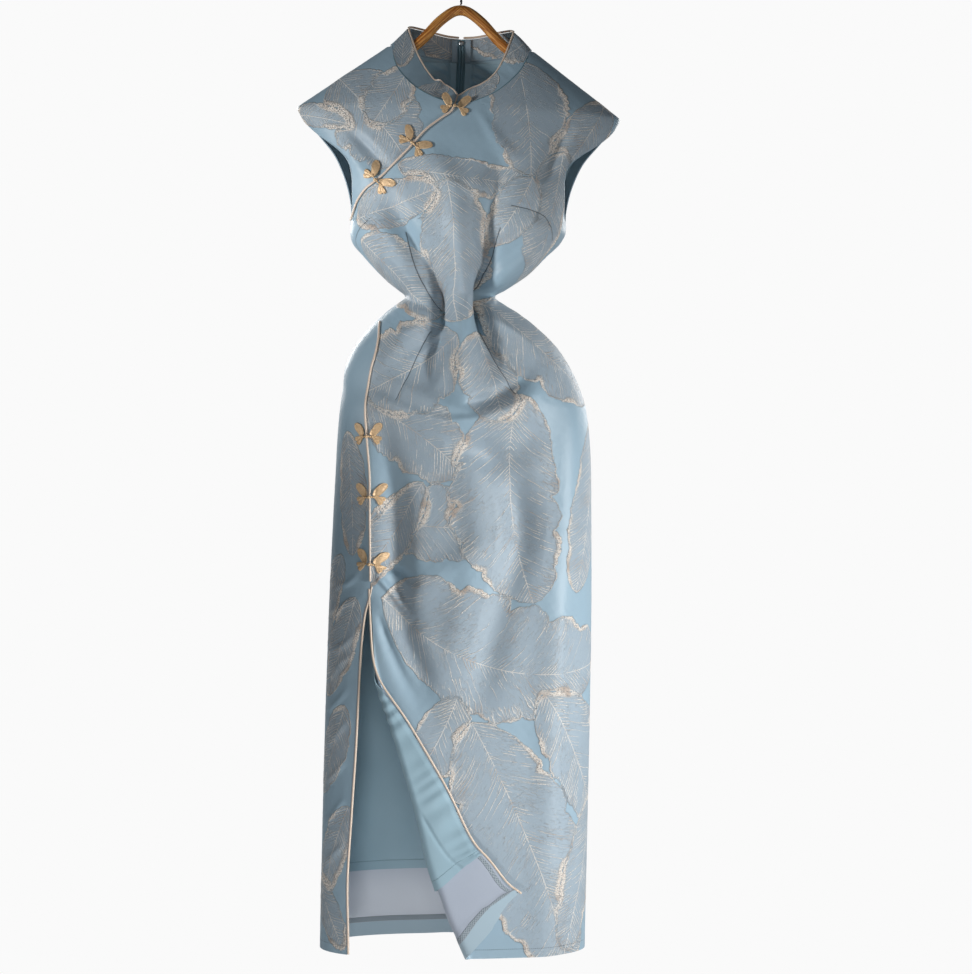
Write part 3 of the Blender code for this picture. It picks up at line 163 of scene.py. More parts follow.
# finer creases of the front, on top of the large folds
creases = {
    "ridgeFront": fold(
        (-3.7, 904.4, 0, 12), (0, 867.5, 4, 11), (1.2, 830.5, 7, 9.5), (2.5, 787.4, 8, 9.5),
        (3.7, 738.2, 6, 10), (4.9, 695, 4, 11), (4.9, 658.1, 0, 13)),
    "ridgeGap": fold(
        (38.2, 901, 0, 10), (30.8, 867.5, -6, 8), (25.9, 836.7, -12, 6.5), (24.6, 812.1, -15, 6),
        (25.9, 785, -12, 6.5), (30.8, 756.6, -7, 16, 9), (40.7, 723.4, -4, 24, 10),
        (53, 691.3, 0, 28, 12)),
    "leftGap": fold(
        (-45.6, 876.1, 0, 10), (-33.3, 841.6, -6, 7, 12), (-25.9, 812.1, -9, 6, 12),
        (-23.4, 789.9, -10, 6, 16), (-27.1, 762.8, -8, 6, 28), (-34.5, 730.8, -6, 8, 32),
        (-45.6, 698.7, 0, 10, 34)),
    "leftBustCrest": fold(
        (-122, 890.5, 0, 6, 14), (-94.9, 871.1, 4, 6, 15), (-72.7, 853.9, 7, 6, 14),
        (-59.1, 837.9, 9, 5.5, 12), (-56.7, 821.9, 7, 5, 10), (-65.3, 807.1, 0, 5, 8)),
    "rightBustCrest": fold(
        (107.2, 886.3, 0, 16, 7), (75.1, 868.8, 4, 15, 7), (50.5, 851.5, 7, 12, 6),
        (38.2, 834.2, 9, 10, 5), (34.5, 817, 7, 9, 5), (37, 804.7, 0, 8, 5)),
    "pinchLeft": fold(
        (-85, 829.3, 0, 5), (-69, 819.5, -3, 5), (-53, 809.6, -5, 5), (-35.7, 804.7, 0, 6)),
    "pinchRight": fold(
        (40.7, 812.1, 0, 5), (51.7, 820.7, -4, 4.5), (66.5, 824.4, -3, 5), (85, 831.8, 0, 6)),
    "ledge": fold(
        (-114.6, 698.7, 0, 6, 12), (-86.2, 686.4, 4, 6, 12), (-50.5, 671.6, 6, 6, 12),
        (-18.5, 663, 7, 6, 12), (13.6, 664.2, 8, 6, 12), (46.8, 672.9, 8, 6, 12),
        (78.8, 690.1, 6, 6, 12), (98.6, 711, 0, 6, 12)),
    "ledgeHollow": fold(
        (-11.1, 683.9, 0, 9), (16, 683.9, -6, 9), (43.1, 691.3, -7, 9), (67.8, 706.1, -4, 9),
        (85, 723.4, 0, 9)),
    "belowLedge": fold(
        (-19.7, 632.2, 0, 20), (16, 624.8, -5, 20), (48, 619.9, -7, 21), (75.1, 632.2, -5, 20),
        (97.3, 664.2, 0, 18)),
    "skirtTrough": fold(
        (62.8, 621.1, 0, 20, 18), (71.5, 578, -6, 20), (76.4, 528.7, -8, 20),
        (65.3, 473.3, -5, 20), (48, 417.9, -4, 20), (33.3, 362.4, -4, 20), (20.9, 294.7, 0, 22)),
    "skirtCrest": fold(
        (1.2, 639.6, 0, 18), (11.1, 590.3, 4, 18), (20.9, 528.7, 5, 18), (11.1, 467.1, 4, 18),
        (-6.2, 393.2, 4, 18), (-16, 331.6, 0, 18)),
    "rightCrest": fold(
        (136.7, 695, 0, 14), (135.5, 651.9, 5, 16), (131.8, 565.7, 6, 16), (124.4, 442.5, 6, 18),
        (117, 319.3, 5, 18), (112.1, 196.1, 4, 18), (107.2, -1, 2, 20)),
    "leftTrough": fold(
        (-102.2, 670.4, 0, 14), (-92.4, 627.3, -4, 16), (-82.5, 565.7, -7, 18),
        (-80.1, 504.1, -8, 18), (-77.6, 442.5, -8, 16, 18), (-65.3, 393.2, -6, 16, 18),
        (-45.6, 331.6, -3, 18), (-25.9, 282.3, 0, 18)),
    "slitDragA": fold(
        (-107.2, 474.5, 0, 3.5), (-96.1, 463.4, 3, 4), (-80.1, 442.5, 3.5, 5),
        (-60.4, 415.4, 0, 7)),
    "slitDragB": fold(
        (-107.2, 484.4, 0, 3), (-89.9, 479.5, -3, 4), (-70.2, 472.1, -2.5, 6), (-48, 459.7, 0, 8)),
    "slitDragC": fold(
        (-103.5, 427.7, 0, 4), (-92.4, 393.2, -3, 5), (-72.7, 348.9, -2.5, 7),
        (-45.6, 304.5, 0, 9)),
    "chestCrest": fold(
        (-50.5, 1007.3, 0, 16), (-25.9, 977.6, 4, 16), (-11.1, 941.2, 6, 16),
        (-3.7, 895.8, 4, 15), (0, 863.8, 0, 13)),
    "chestTrough": fold(
        (62.8, 999, 0, 16), (48, 961.1, -5, 15), (37, 923.4, -8, 14), (30.8, 886.1, -7, 12),
        (28.3, 858.9, 0, 10)),
    "bustRight": fold(
        (112.1, 975.5, 0, 16), (101, 939.5, 5, 17), (85, 903.8, 6, 16), (65.3, 876.2, 0, 14)),
    "bustLeftTrough": fold(
        (-94.9, 945.6, 0, 12), (-80.1, 917.1, -5, 12), (-62.8, 888.2, -7, 11),
        (-45.6, 858.9, -5, 10), (-33.3, 831.8, 0, 9)),
    "bustLeft": fold(
        (-134.3, 918.9, 0, 12), (-117, 897.7, 5, 13), (-97.3, 876, 4, 12), (-77.6, 853.9, 0, 10)),
    "armRight": fold(
        (140.4, 1036.5, 0, 8), (122, 1013.6, -4, 9), (107.2, 977.9, -4, 10), (99.8, 942, 0, 12)),
    "armLeft": fold(
        (-156.5, 1015.7, 0, 7), (-136.7, 992.1, 3, 7), (-122, 971, 3, 8), (-109.6, 952.4, 0, 9)),
    "armLeftB": fold(
        (-142.9, 1026.1, 0, 6), (-122, 1004.7, -3, 7), (-102.2, 983.6, -3, 8), (-85, 969.7, 0, 9)),
    "neckDrag": fold(
        (18.5, 1054.2, 0, 4), (30.8, 1037.4, 2, 5), (48, 1010.9, 2.5, 7), (72.7, 986.9, 0, 9)),
    "hipSeamA": fold(
        (-11.1, 785, 0, 3), (-25.9, 770.2, 2, 3.5), (-45.6, 750.5, 2, 5), (-70.2, 730.8, 0, 7)),
    "hipSeamB": fold(
        (-13.6, 792.4, 0, 3), (-35.7, 785, 2.2, 3.5), (-60.4, 777.6, 2, 5), (-85, 770.2, 0, 6)),
    "hipSeamC": fold(
        (30.8, 797.3, 0, 3), (48, 785, 2.2, 3.5), (72.7, 770.2, 2, 5), (102.2, 750.5, 0, 7)),
    "hipSeamD": fold(
        (33.3, 775.1, 0, 3), (45.6, 757.9, 2, 4), (62.8, 735.7, 1.8, 5), (82.5, 711, 0, 7)),
    "waistFineA": fold(
        (-20.9, 841.6, 0, 2.4), (-17.2, 821.9, 1.6, 2.4), (-18.5, 802.2, 1.8, 2.4),
        (-14.8, 775.1, 0, 3)),
    "waistFineB": fold(
        (-35.7, 834.2, 0, 2.6), (-28.3, 817, 1.8, 2.6), (-20.9, 797.3, 2.2, 2.4),
        (-18.5, 785, 0, 2.4)),
    "waistFineC": fold(
        (30.8, 853.9, 0, 2.6), (33.3, 831.8, 1.8, 2.4), (32, 807.1, 1.8, 2.4),
        (30.8, 780, 0, 2.6)),
    "stripA": fold(
        (-166.3, 447.4, 0, 3), (-155.2, 457.3, 2.2, 3.4), (-139.2, 462.2, 2.4, 3.4),
        (-124.4, 477, 0, 4)),
    "stripB": fold(
        (-170, 415.4, 0, 3), (-157.7, 421.6, 2.2, 3.2), (-144.1, 435.1, 2.2, 3.4),
        (-128.1, 440, 0, 4)),
    "stripC": fold(
        (-171.2, 378.4, 0, 3), (-158.9, 378.4, 2.6, 3.4), (-144.1, 385.8, 2.6, 3.6),
        (-129.3, 401.8, 0, 4)),
    "stripD": fold(
        (-171.2, 339, 0, 3), (-160.1, 346.4, 2, 3.2), (-147.8, 363.7, 2.2, 3.2),
        (-134.3, 373.5, 0, 4)),
    "stripE": fold(
        (-172.5, 299.6, 0, 3), (-161.4, 305.8, 2.4, 3.4), (-149.1, 319.3, 2.2, 3.4),
        (-136.7, 336.6, 0, 4)),
    "stripF": fold(
        (-172.5, 255.2, 0, 3), (-161.4, 262.6, 2, 3), (-150.3, 278.7, 2.4, 3.4),
        (-139.2, 292.2, 0, 4)),
    "stripG": fold(
        (-172.5, 212.1, 0, 3), (-162.6, 217.1, 2.2, 3.4), (-151.5, 230.6, 2.2, 3.2),
        (-140.4, 245.4, 0, 4)),
    "stripH": fold(
        (-172.5, 156.7, 0, 3), (-162.6, 166.5, 2, 3), (-152.8, 182.6, 2.2, 3.4),
        (-141.7, 196.1, 0, 4)),
    "stripI": fold(
        (-172.5, 109.9, 0, 3), (-163.8, 114.8, 2.2, 3.2), (-154, 128.4, 2.4, 3.2),
        (-142.9, 139.4, 0, 4)),
}
# soft folds of the back
backCreases = {
    "hipDragRight": fold(
        (30, 775, 0, 8), (55, 745, -3, 9, 12), (85, 705, -3.6, 12, 14), (110, 655, 0, 14)),
    "hipDragLeft": fold(
        (-35, 770, 0, 8), (-68, 728, -3.2, 10, 13), (-100, 680, -2, 13), (-118, 640, 0, 14)),
    "bladeDragRight": fold(
        (30, 850, 0, 8), (55, 885, -2.8, 11, 9), (85, 925, -2.2, 14, 12), (110, 965, 0, 14)),
    "bladeDragLeft": fold(
        (-28, 852, 0, 8), (-50, 892, -3.4, 9, 12), (-74, 938, -1.8, 13, 15), (-100, 972, 0, 14)),
    "skirtTroughBack": fold(
        (42, 600, 0, 20), (55, 505, -3, 22, 28), (47, 380, -3.6, 26, 22), (61, 250, -2.2, 24, 26),
        (55, 110, 0, 24)),
    "skirtCrestBack": fold(
        (-60, 560, 0, 22), (-49, 440, 4.6, 26, 22), (-62, 300, 5.8, 24, 28),
        (-55, 160, 4, 26, 24), (-61, 50, 0, 24)),
    "seatSwag": fold(
        (-90, 642, 0, 12), (-40, 615, -2.6, 13, 17), (22, 608, -3.2, 16, 13), (80, 632, 0, 12)),
    "seatCrest": fold(
        (-110, 598, 0, 14), (-52, 571, 4.2, 16, 13), (30, 566, 3.6, 13, 17), (100, 592, 0, 14)),
    "fluteRight": fold(
        (100, 230, 0, 16), (106, 125, 3.8, 18, 22), (99, 30, 5.2, 22, 19),
        (101, -30, 5.5, 22, 20)),
    "fluteMiddle": fold(
        (-20, 200, 0, 16), (-14, 100, 3.4, 20, 16), (-20, 0, 5, 21, 18), (-20, -30, 5, 21, 18)),
    "shoulderRight": fold(
        (20, 1095, 0, 10), (60, 1055, -2.2, 11, 14), (100, 1005, -2.6, 14, 12), (120, 950, 0, 12)),
    "shoulderLeft": fold(
        (-30, 1095, 0, 10), (-72, 1060, -2.4, 13, 11), (-118, 1018, 0, 12)),
}

# gathers pulled together at the back of the waist; rows: height, spread, share, half width
backGathers = {
    "count": 5, "pitch": 0.0185, "depth": 0.011, "knots": 16,
    "rows": (
        (0.640, 3.10, 0.00, 0.018), (0.700, 2.50, 0.20, 0.014), (0.765, 1.60, 0.65, 0.009),
        (0.815, 1.00, 1.00, 0.0052), (0.862, 1.45, 0.70, 0.008), (0.910, 1.90, 0.25, 0.012),
        (0.965, 2.10, 0.00, 0.015),
    ),
}


def monotone(table, column, at):  # cubic through a table's rows that never overshoots them
    xs = np.array([row[0] for row in table], float)
    ys = np.array([row[column] for row in table], float)
    step = np.diff(xs)
    slope = np.diff(ys) / step
    tangent = np.zeros_like(ys)
    tangent[0], tangent[-1] = slope[0], slope[-1]
    same = slope[:-1] * slope[1:] > 0
    mean = np.where(same, slope[:-1] + slope[1:], 1.0)
    tangent[1:-1] = np.where(same, 2 * slope[:-1] * slope[1:] / mean, 0.0)
    at = np.asarray(at, float)
    i = np.clip(np.searchsorted(xs, at) - 1, 0, len(xs) - 2)
    t = np.clip((at - xs[i]) / step[i], 0.0, 1.0)
    t2, t3 = t * t, t * t * t
    return ((2 * t3 - 3 * t2 + 1) * ys[i] + (t3 - 2 * t2 + t) * step[i] * tangent[i]
            + (3 * t2 - 2 * t3) * ys[i + 1] + (t3 - t2) * step[i] * tangent[i + 1])


def linear(table, column, at):  # straight between a table's rows
    return np.interp(at, [row[0] for row in table], [row[column] for row in table])


def smooth(low, high, value):  # from 0 at low to 1 at high, either way round
    t = np.clip((np.asarray(value, float) - low) / (high - low), 0.0, 1.0)
    return t * t * (3 - 2 * t)


def section(h):  # centre, half width, front depth, back depth and exponent at a height
    centre, half, front, back, power = (monotone(garment["sections"], k, h) for k in range(1, 6))
    roof = linear(garment["shoulder"], 1, h)
    tip = garment["capTip"]
    roof = np.where(np.asarray(h) < tip, garment["capHalf"] + (tip - h) * garment["capSlope"], roof)
    half = 0.5 * (half + roof - np.sqrt((half - roof) ** 2 + 0.0020 ** 2))
    return centre, half, front, back, power


def radius(theta, half, depth, power):  # polar radius of the superellipse
    return ((np.abs(np.cos(theta)) / depth) ** power
            + (np.abs(np.sin(theta)) / half) ** power) ** (-1.0 / power)


arcHeights = np.linspace(-0.040, 1.175, 244)
arcShares = np.linspace(0.0, 1.0, 181)
arcThetas = np.linspace(0.0, math.pi / 2, 361)


def arcTables():  # share of the quarter's arc at each theta, its inverse, and its length
    tables = []
    _, half, front, back, power = section(arcHeights)
    for depth in (front, back):
        r = radius(arcThetas[None, :], half[:, None], depth[:, None], power[:, None])
        x, y = r * np.sin(arcThetas), r * np.cos(arcThetas)
        steps = np.hypot(np.diff(x, axis=1), np.diff(y, axis=1))
        run = np.concatenate([np.zeros((len(arcHeights), 1)), np.cumsum(steps, axis=1)], axis=1)
        share = run / run[:, -1:]
        inverse = np.array([np.interp(arcShares, row, arcThetas) for row in share])
        tables.append((share, inverse, run[:, -1]))
    return tables


arcs = arcTables()


def lookup(table, h, column):  # bilinear reading over height and a fractional column
    row = np.clip((h - arcHeights[0]) / (arcHeights[1] - arcHeights[0]), 0,
                  len(arcHeights) - 1.001)
    column = np.clip(column, 0, table.shape[1] - 1.001)
    i, j = row.astype(int), column.astype(int)
    a, b = row - i, column - j
    return ((1 - a) * ((1 - b) * table[i, j] + b * table[i, j + 1])
            + a * ((1 - b) * table[i + 1, j] + b * table[i + 1, j + 1]))


def quarter(h):  # length of cloth from the centre front to the side
    return np.interp(h, arcHeights, arcs[0][2])


def uAt(x, h, front=True):  # the u of the point at x on the front or the back
    x, h = np.broadcast_arrays(np.asarray(x, float), np.asarray(h, float))
    centre, half, deep, back, power = section(h)
    depth = deep if front else back
    ratio = np.clip((x - centre) / half, -1.0, 1.0)
    y = depth * np.maximum(1 - np.abs(ratio) ** power, 0.0) ** (1 / power)
    theta = np.arctan2(np.abs(ratio) * half, y)
    share = lookup(arcs[0 if front else 1][0], h, theta / arcThetas[1])
    share = np.where(np.abs(ratio) >= 1.0, 1.0, share)
    side = np.where(ratio < 0, -1.0, 1.0)
    return side * (0.5 * share if front else 1.0 - 0.5 * share)


def smoothed(path, parts=9):  # a Catmull-Rom curve through the points
    ends = np.vstack([2 * path[0] - path[1], path, 2 * path[-1] - path[-2]])
    t = np.linspace(0, 1, parts)[:-1, None]
    runs = [0.5 * (2 * b + (c - a) * t + (2 * a - 5 * b + 4 * c - d) * t * t
                   + (3 * b - a - 3 * c + d) * t ** 3)
            for a, b, c, d in zip(ends, ends[1:], ends[2:], ends[3:])]
    return np.vstack(runs + [path[-1:]])


def foldPaths(folds):  # each fold's rows as short segments of a curve
    return [smoothed(np.array(rows, float), 6) for rows in folds]


def gatherFolds():  # folds side by side, their spread, depth and width by height
    g = backGathers
    folds = []
    for k in range(g["count"]):
        place = (k - (g["count"] - 1) / 2) * g["pitch"]
        rows = []
        for height in np.linspace(g["rows"][0][0], g["rows"][-1][0], g["knots"]):
            centre = float(monotone(garment["sections"], 1, height))
            spread, share, half = (float(monotone(g["rows"], n, height)) for n in (1, 2, 3))
            rows.append((place * spread + centre, height, -g["depth"] * share, half, half))
        folds.append(rows)
    return folds


def rise(paths, x, h):  # sum of the folds: each a bell across its path, uneven in width
    total = np.zeros_like(x)
    for path in paths:
        reach = 3.2 * path[:, 3:].max()
        low, high = path[:, :2].min(0) - reach, path[:, :2].max(0) + reach
        near = (x > low[0]) & (x < high[0]) & (h > low[1]) & (h < high[1])
        if not near.any():
            continue
        px, ph = x[near], h[near]
        best = np.full(px.shape, 1e9)
        bell = np.zeros_like(px)
        for a, b in zip(path[:-1], path[1:]):
            along = b[:2] - a[:2]
            t = np.clip(((px - a[0]) * along[0] + (ph - a[1]) * along[1]) / (along @ along), 0, 1)
            dx, dh = px - a[0] - t * along[0], ph - a[1] - t * along[1]
            away = dx * dx + dh * dh
            left = along[0] * dh - along[1] * dx > 0
            row = a + t[:, None] * (b - a)
            width = np.where(left, row[:, 3], row[:, 4])
            closer = away < best
            best = np.where(closer, away, best)
            bell = np.where(closer, row[:, 2] * np.exp(-away / width ** 2), bell)
        total[near] += bell
    return total


frontPaths = foldPaths(mainFolds.values())
creasePaths = foldPaths(creases.values())
backCreasePaths = foldPaths(backCreases.values())
backPaths = foldPaths(gatherFolds())


def tilt(h):  # drop of the bodice for each metre to the right
    return garment["bodiceTilt"] * smooth(0.860, 1.020, h)


def surface(u, h):  # outer face: superellipse by arc length, folds along its normal
    u, h = np.broadcast_arrays(np.asarray(u, float), np.asarray(h, float))
    centre, half, deep, back, power = section(h)
    side = np.where(u < 0, -1.0, 1.0)
    share = np.abs(u) * 2
    front = share <= 1
    share = np.where(front, share, 2 - share)
    column = share / arcShares[1]
    theta = np.where(front, lookup(arcs[0][1], h, column), lookup(arcs[1][1], h, column))
    depth = np.where(front, deep, back)
    r = radius(theta, half, depth, power)
    x = r * np.sin(theta)
    y = r * np.cos(theta)
    nx = (x / half) ** (power - 1) / half
    ny = (y / depth) ** (power - 1) / depth
    size = np.hypot(nx, ny)
    nx, ny = side * nx / size, np.where(front, -ny, ny) / size
    x, y = centre + side * x, np.where(front, -y, y)
    inner = smooth(0.0, 0.55, np.abs(y) / depth)
    out = np.where(front, rise(frontPaths, x, h), rise(backPaths, x, h)) * inner
    fine = np.where(front, rise(creasePaths, x, h), rise(backCreasePaths, x, h))
    waist = smooth(0.74, 0.79, h) * smooth(0.89, 0.85, h)
    trough = garment["troughScale"] * (1 - waist) + garment["waistScale"] * waist
    fine = fine * np.where(fine > 0, garment["crestScale"], trough)
    out = out + fine * smooth(0.16 * waist, 0.30 + 0.35 * waist, np.abs(y) / depth)
    x, y = x + nx * out, y + ny * out
    return np.stack([x, y, h - garment["hookHeight"] - tilt(h) * x], axis=-1)


def wrapped(u, h):  # the surface with u carried round past the centre back
    return surface(np.where(u > 1, u - 2, np.where(u < -1, u + 2, u)), h)


def facing(shape, u, h):  # unit normal of a surface function, out of the tube
    fine, wide = 2e-4, 2.5e-3  # steps of u and height; the wide one is for the rolled corner

    def normal(step):
        across = shape(u + step, h) - shape(u - step, h)
        up = shape(u, h + step) - shape(u, h - step)
        out = np.cross(across, up)
        return out / np.linalg.norm(out, axis=-1, keepdims=True)

    if shape is not folded:
        return normal(fine)
    soft = (smooth(0.46, 0.40, h) * smooth(0.10, 0.05, u * 2 * quarter(h)))[..., None]
    out = normal(fine) * (1 - soft) + normal(wide) * soft
    return out / np.linalg.norm(out, axis=-1, keepdims=True)


def foldLine():  # cloth coordinates of the fold: distance round, height, radius, left normal
    rows = garment["foldLine"]
    heights = np.linspace(rows[0][0], rows[-1][0], 70)
    x = monotone(rows, 1, heights)
    points = np.stack([uAt(x, heights) * 2 * quarter(heights), heights], axis=1)
    along = np.gradient(points, axis=0)
    along /= np.linalg.norm(along, axis=1, keepdims=True)
    left = np.stack([-along[:, 1], along[:, 0]], axis=1)
    return np.hstack([points, monotone(rows, 2, heights)[:, None], left])


line = foldLine()


def folded(u, h):  # the front with its corner rolled outwards about the fold line
    u, h = np.broadcast_arrays(np.asarray(u, float), np.asarray(h, float))
    out = surface(u, h)
    flat = np.stack([u * 2 * quarter(h), h], axis=-1)
    low = (h < garment["foldLine"][-1][0]) & (flat[..., 0] < 0.06)  # all that the fold can reach
    if not low.any():
        return out
    q = flat[low]
    best = np.full(len(q), 1e9)
    foot = np.zeros((len(q), 5))
    for a, b in zip(line[:-1], line[1:]):
        along = (b - a)[:2]
        t = np.clip(((q - a[:2]) @ along) / (along @ along), 0, 1)
        row = a + t[:, None] * (b - a)
        away = ((q - row[:, :2]) ** 2).sum(1)
        closer = away < best
        best = np.where(closer, away, best)
        foot = np.where(closer[:, None], row, foot)
    point, turn, left = foot[:, :2], foot[:, 2], foot[:, 3:]
    left = left / np.linalg.norm(left, axis=1, keepdims=True)
    past = ((q - point) * left).sum(1)

    def onCloth(p):
        return p[:, 0] / (2 * quarter(p[:, 1])), p[:, 1]

    baseU, baseH = onCloth(point)
    base = surface(baseU, baseH)
    step = 1e-4
    aside = (surface(*onCloth(point + left * step)) - base) / step
    outOf = facing(surface, baseU, baseH)
    angle = np.clip(past / turn, 0.0, math.pi)
    curl = (base + aside * (turn * np.sin(angle))[:, None]
            + outOf * (turn * (1 - np.cos(angle)))[:, None])
    land = onCloth(point - left * np.maximum(past - math.pi * turn, 0.0)[:, None])
    over = surface(*land) + facing(surface, *land) * (2 * turn)[:, None]
    placed = np.where((past > math.pi * turn)[:, None], over, curl)
    out[low] = np.where((past > 0)[:, None], placed, out[low])
    return out


def shifted(table, gap):  # an edge moved to its right by a gap, to its left if negative
    points = np.array([row[:2] for row in table], float)
    along = np.gradient(points, axis=0)
    along /= np.linalg.norm(along, axis=1, keepdims=True)
    moved = np.stack([points[:, 0] - along[:, 1] * gap, points[:, 1] + along[:, 0] * gap], axis=1)
    moved[:, 0] = np.maximum.accumulate(moved[:, 0] + np.arange(len(moved)) * 1e-7)
    return moved


def edgeU(table, h, gap, front=True):  # u of a seam's or an edge's own table, moved by a gap
    return uAt(monotone(shifted(garment[table], gap), 1, h), h, front)


def armholeU(table, h, side, front=True):  # u of an armhole, mirrored about the section
    rows = garment[table]
    xs = monotone(garment["sections"], 1, [row[0] for row in rows]) + side * np.array(
        [row[1] for row in rows])
    return uAt(monotone([(row[0], x) for row, x in zip(rows, xs)], 1, h), h, front)


def nudge(h, gap):  # a gap in metres as a step of u
    return gap / (2 * quarter(h))


halfSeam = garment["seam"] / 2


def frontLeft(h):  # left edge of the front: slit, side seam, diagonal, then the neck
    slit = edgeU("slitFront", h, halfSeam)
    seam = edgeU("leftSeam", h, halfSeam)
    seam = np.where(seam <= -0.4995, -0.5 + nudge(h, halfSeam), seam)
    diagonal = np.maximum(edgeU("diagonal", h, halfSeam), -0.5 + nudge(h, halfSeam))
    neck = edgeU("neckRight", h, halfSeam)
    upper = np.where(h < garment["overlapTop"], diagonal, neck)
    return np.where(h < garment["slitTop"], slit, np.where(h < garment["frontArm"], seam, upper))


def backEdgeLeft(h):  # front-lying edge of the left back: slit, side seam, armhole, shoulder
    slit = edgeU("slitBack", h, -halfSeam)
    seam = edgeU("leftSeam", h, -halfSeam)
    seam = np.where(seam <= -0.4995, -0.5 - nudge(h, halfSeam), seam)
    hole = np.minimum(armholeU("armholeBack", h, -1, False), -0.5 - nudge(h, halfSeam))
    return np.where(h < garment["slitTop"], slit, np.where(h < garment["backArm"], seam, hole))


def armholeRight(h):  # right edge of the front: side seam, then armhole and cap
    hole = armholeU("armholeFront", h, 1)
    return np.minimum(np.where(h < garment["backArm"], 0.5, hole), 0.5 - nudge(h, halfSeam))


def gridOf(heights, left, right, columns):  # u and h over rows of heights between two edges
    shares = np.linspace(0.0, 1.0, columns + 1)
    u = left[:, None] + (right - left)[:, None] * shares
    return u, np.repeat(heights[:, None], columns + 1, axis=1)


def frontGrid(heights, flap, curl, rest):  # columns gathered at the roll of the folded corner
    left, right = frontLeft(heights), armholeRight(heights)
    u, h = gridOf(heights, left, right, flap + curl + rest)
    scale = 2 * quarter(heights)
    at, turn, lean = (np.interp(heights, line[:, 1], line[:, k]) for k in (0, 2, 3))
    end = np.maximum(at + math.pi * turn / lean, left * scale + 0.004)
    at = np.maximum(at, end + 0.004)
    for r in np.nonzero(heights < garment["slitTop"])[0]:
        stops = np.concatenate([
            np.linspace(left[r] * scale[r], end[r], flap + 1)[:-1],
            np.linspace(end[r], at[r], curl + 1)[:-1],
            np.linspace(at[r], right[r] * scale[r], rest + 1)]) / scale[r]
        u[r] += (stops - u[r]) * (1 - smooth(0.360, garment["slitTop"], heights[r]))
    return u, h


# meshes: all of them come from grids of points
def layMesh(name, points, faces, materials, slots=None, uv=None, fields=None, sharp=42):
    mesh = bpy.data.meshes.new(name)
    mesh.from_pydata(np.asarray(points, float).reshape(-1, 3).tolist(), [], faces)
    mesh.polygons.foreach_set("use_smooth", np.ones(len(mesh.polygons), bool))
    if slots is not None:
        mesh.polygons.foreach_set("material_index", np.asarray(slots, np.int32))
    if uv is not None:
        layer = mesh.uv_layers.new(name="cloth")
        index = np.zeros(len(mesh.loops), np.int32)
        mesh.loops.foreach_get("vertex_index", index)
        layer.data.foreach_set("uv", np.asarray(uv, np.float32)[index].ravel())
    for key, values in (fields or {}).items():
        mesh.attributes.new(key, "FLOAT", "POINT").data.foreach_set(
            "value", np.asarray(values, np.float32))
    for made in materials:
        mesh.materials.append(made)
    mesh.update()
    mesh.set_sharp_from_angle(angle=math.radians(sharp))
    item = bpy.data.objects.new(name, mesh)
    bpy.context.scene.collection.objects.link(item)
    return item


def quads(index):  # the four corners of each cell of an index grid, outward for u to the right
    return np.stack([index[:-1, :-1], index[:-1, 1:], index[1:, 1:], index[1:, :-1]],
                    axis=-1).reshape(-1, 4)


def around(index):  # the border of an index grid, in the order its outer cells run it
    return np.concatenate([index[0, :-1], index[:-1, -1], index[-1, :0:-1], index[:0:-1, 0]])


def wallFaces(rows, columns):  # a fine outer grid, an inner one of every second point, the rim
    outer = np.arange(rows * columns).reshape(rows, columns)
    few = ((rows + 1) // 2, (columns + 1) // 2)
    inner = rows * columns + np.arange(few[0] * few[1]).reshape(few)
    front, back = quads(outer), quads(inner)[:, ::-1]
    fine, coarse = around(outer), around(inner)
    rim = np.stack([np.roll(fine, -2)[::2], np.roll(fine, -1)[::2], fine[::2], coarse,
                    np.roll(coarse, -1)], axis=1)
    slots = [0] * len(front) + [1] * len(back) + [1] * len(rim)
    return front.tolist() + back.tolist() + rim.tolist(), slots


def spread(grid):  # the outer grid's values, then those of every second point
    tail = grid.shape[2:]
    return np.concatenate([grid.reshape(-1, *tail), grid[::2, ::2].reshape(-1, *tail)])


def ribbonFaces(rows, columns):  # a closed wall of two equal grids
    outer = np.arange(rows * columns).reshape(rows, columns)
    inner = outer + rows * columns
    fine, coarse = around(outer), around(inner)
    rim = np.stack([np.roll(fine, -1), fine, coarse, np.roll(coarse, -1)], axis=1)
    return np.concatenate([quads(outer), quads(inner)[:, ::-1], rim])


def barrel(path, across, aside, radii, sides, squash=1.0):
    # a closed tube: rings of given radii about a path, in the plane of two unit vectors
    turn = np.linspace(0, 2 * math.pi, sides, endpoint=False)
    ring = (across[:, None] * np.cos(turn)[None, :, None]
            + aside[:, None] * np.sin(turn)[None, :, None] * squash)
    points = (path[:, None] + ring * np.asarray(radii)[:, None, None]).reshape(-1, 3)
    rows = len(path)
    index = np.arange(rows * sides).reshape(rows, sides)
    index = np.hstack([index, index[:, :1]])
    faces = quads(index).tolist()
    first, last = len(points), len(points) + 1
    points = np.vstack([points, path[:1], path[-1:]])
    faces += np.stack([np.full(sides, first), index[0, 1:], index[0, :-1]], axis=1).tolist()
    faces += np.stack([np.full(sides, last), index[-1, :-1], index[-1, 1:]], axis=1).tolist()
    return points, faces


def unit(v):  # unit vectors, a zero one staying zero
    return v / np.maximum(np.linalg.norm(v, axis=-1, keepdims=True), 1e-12)


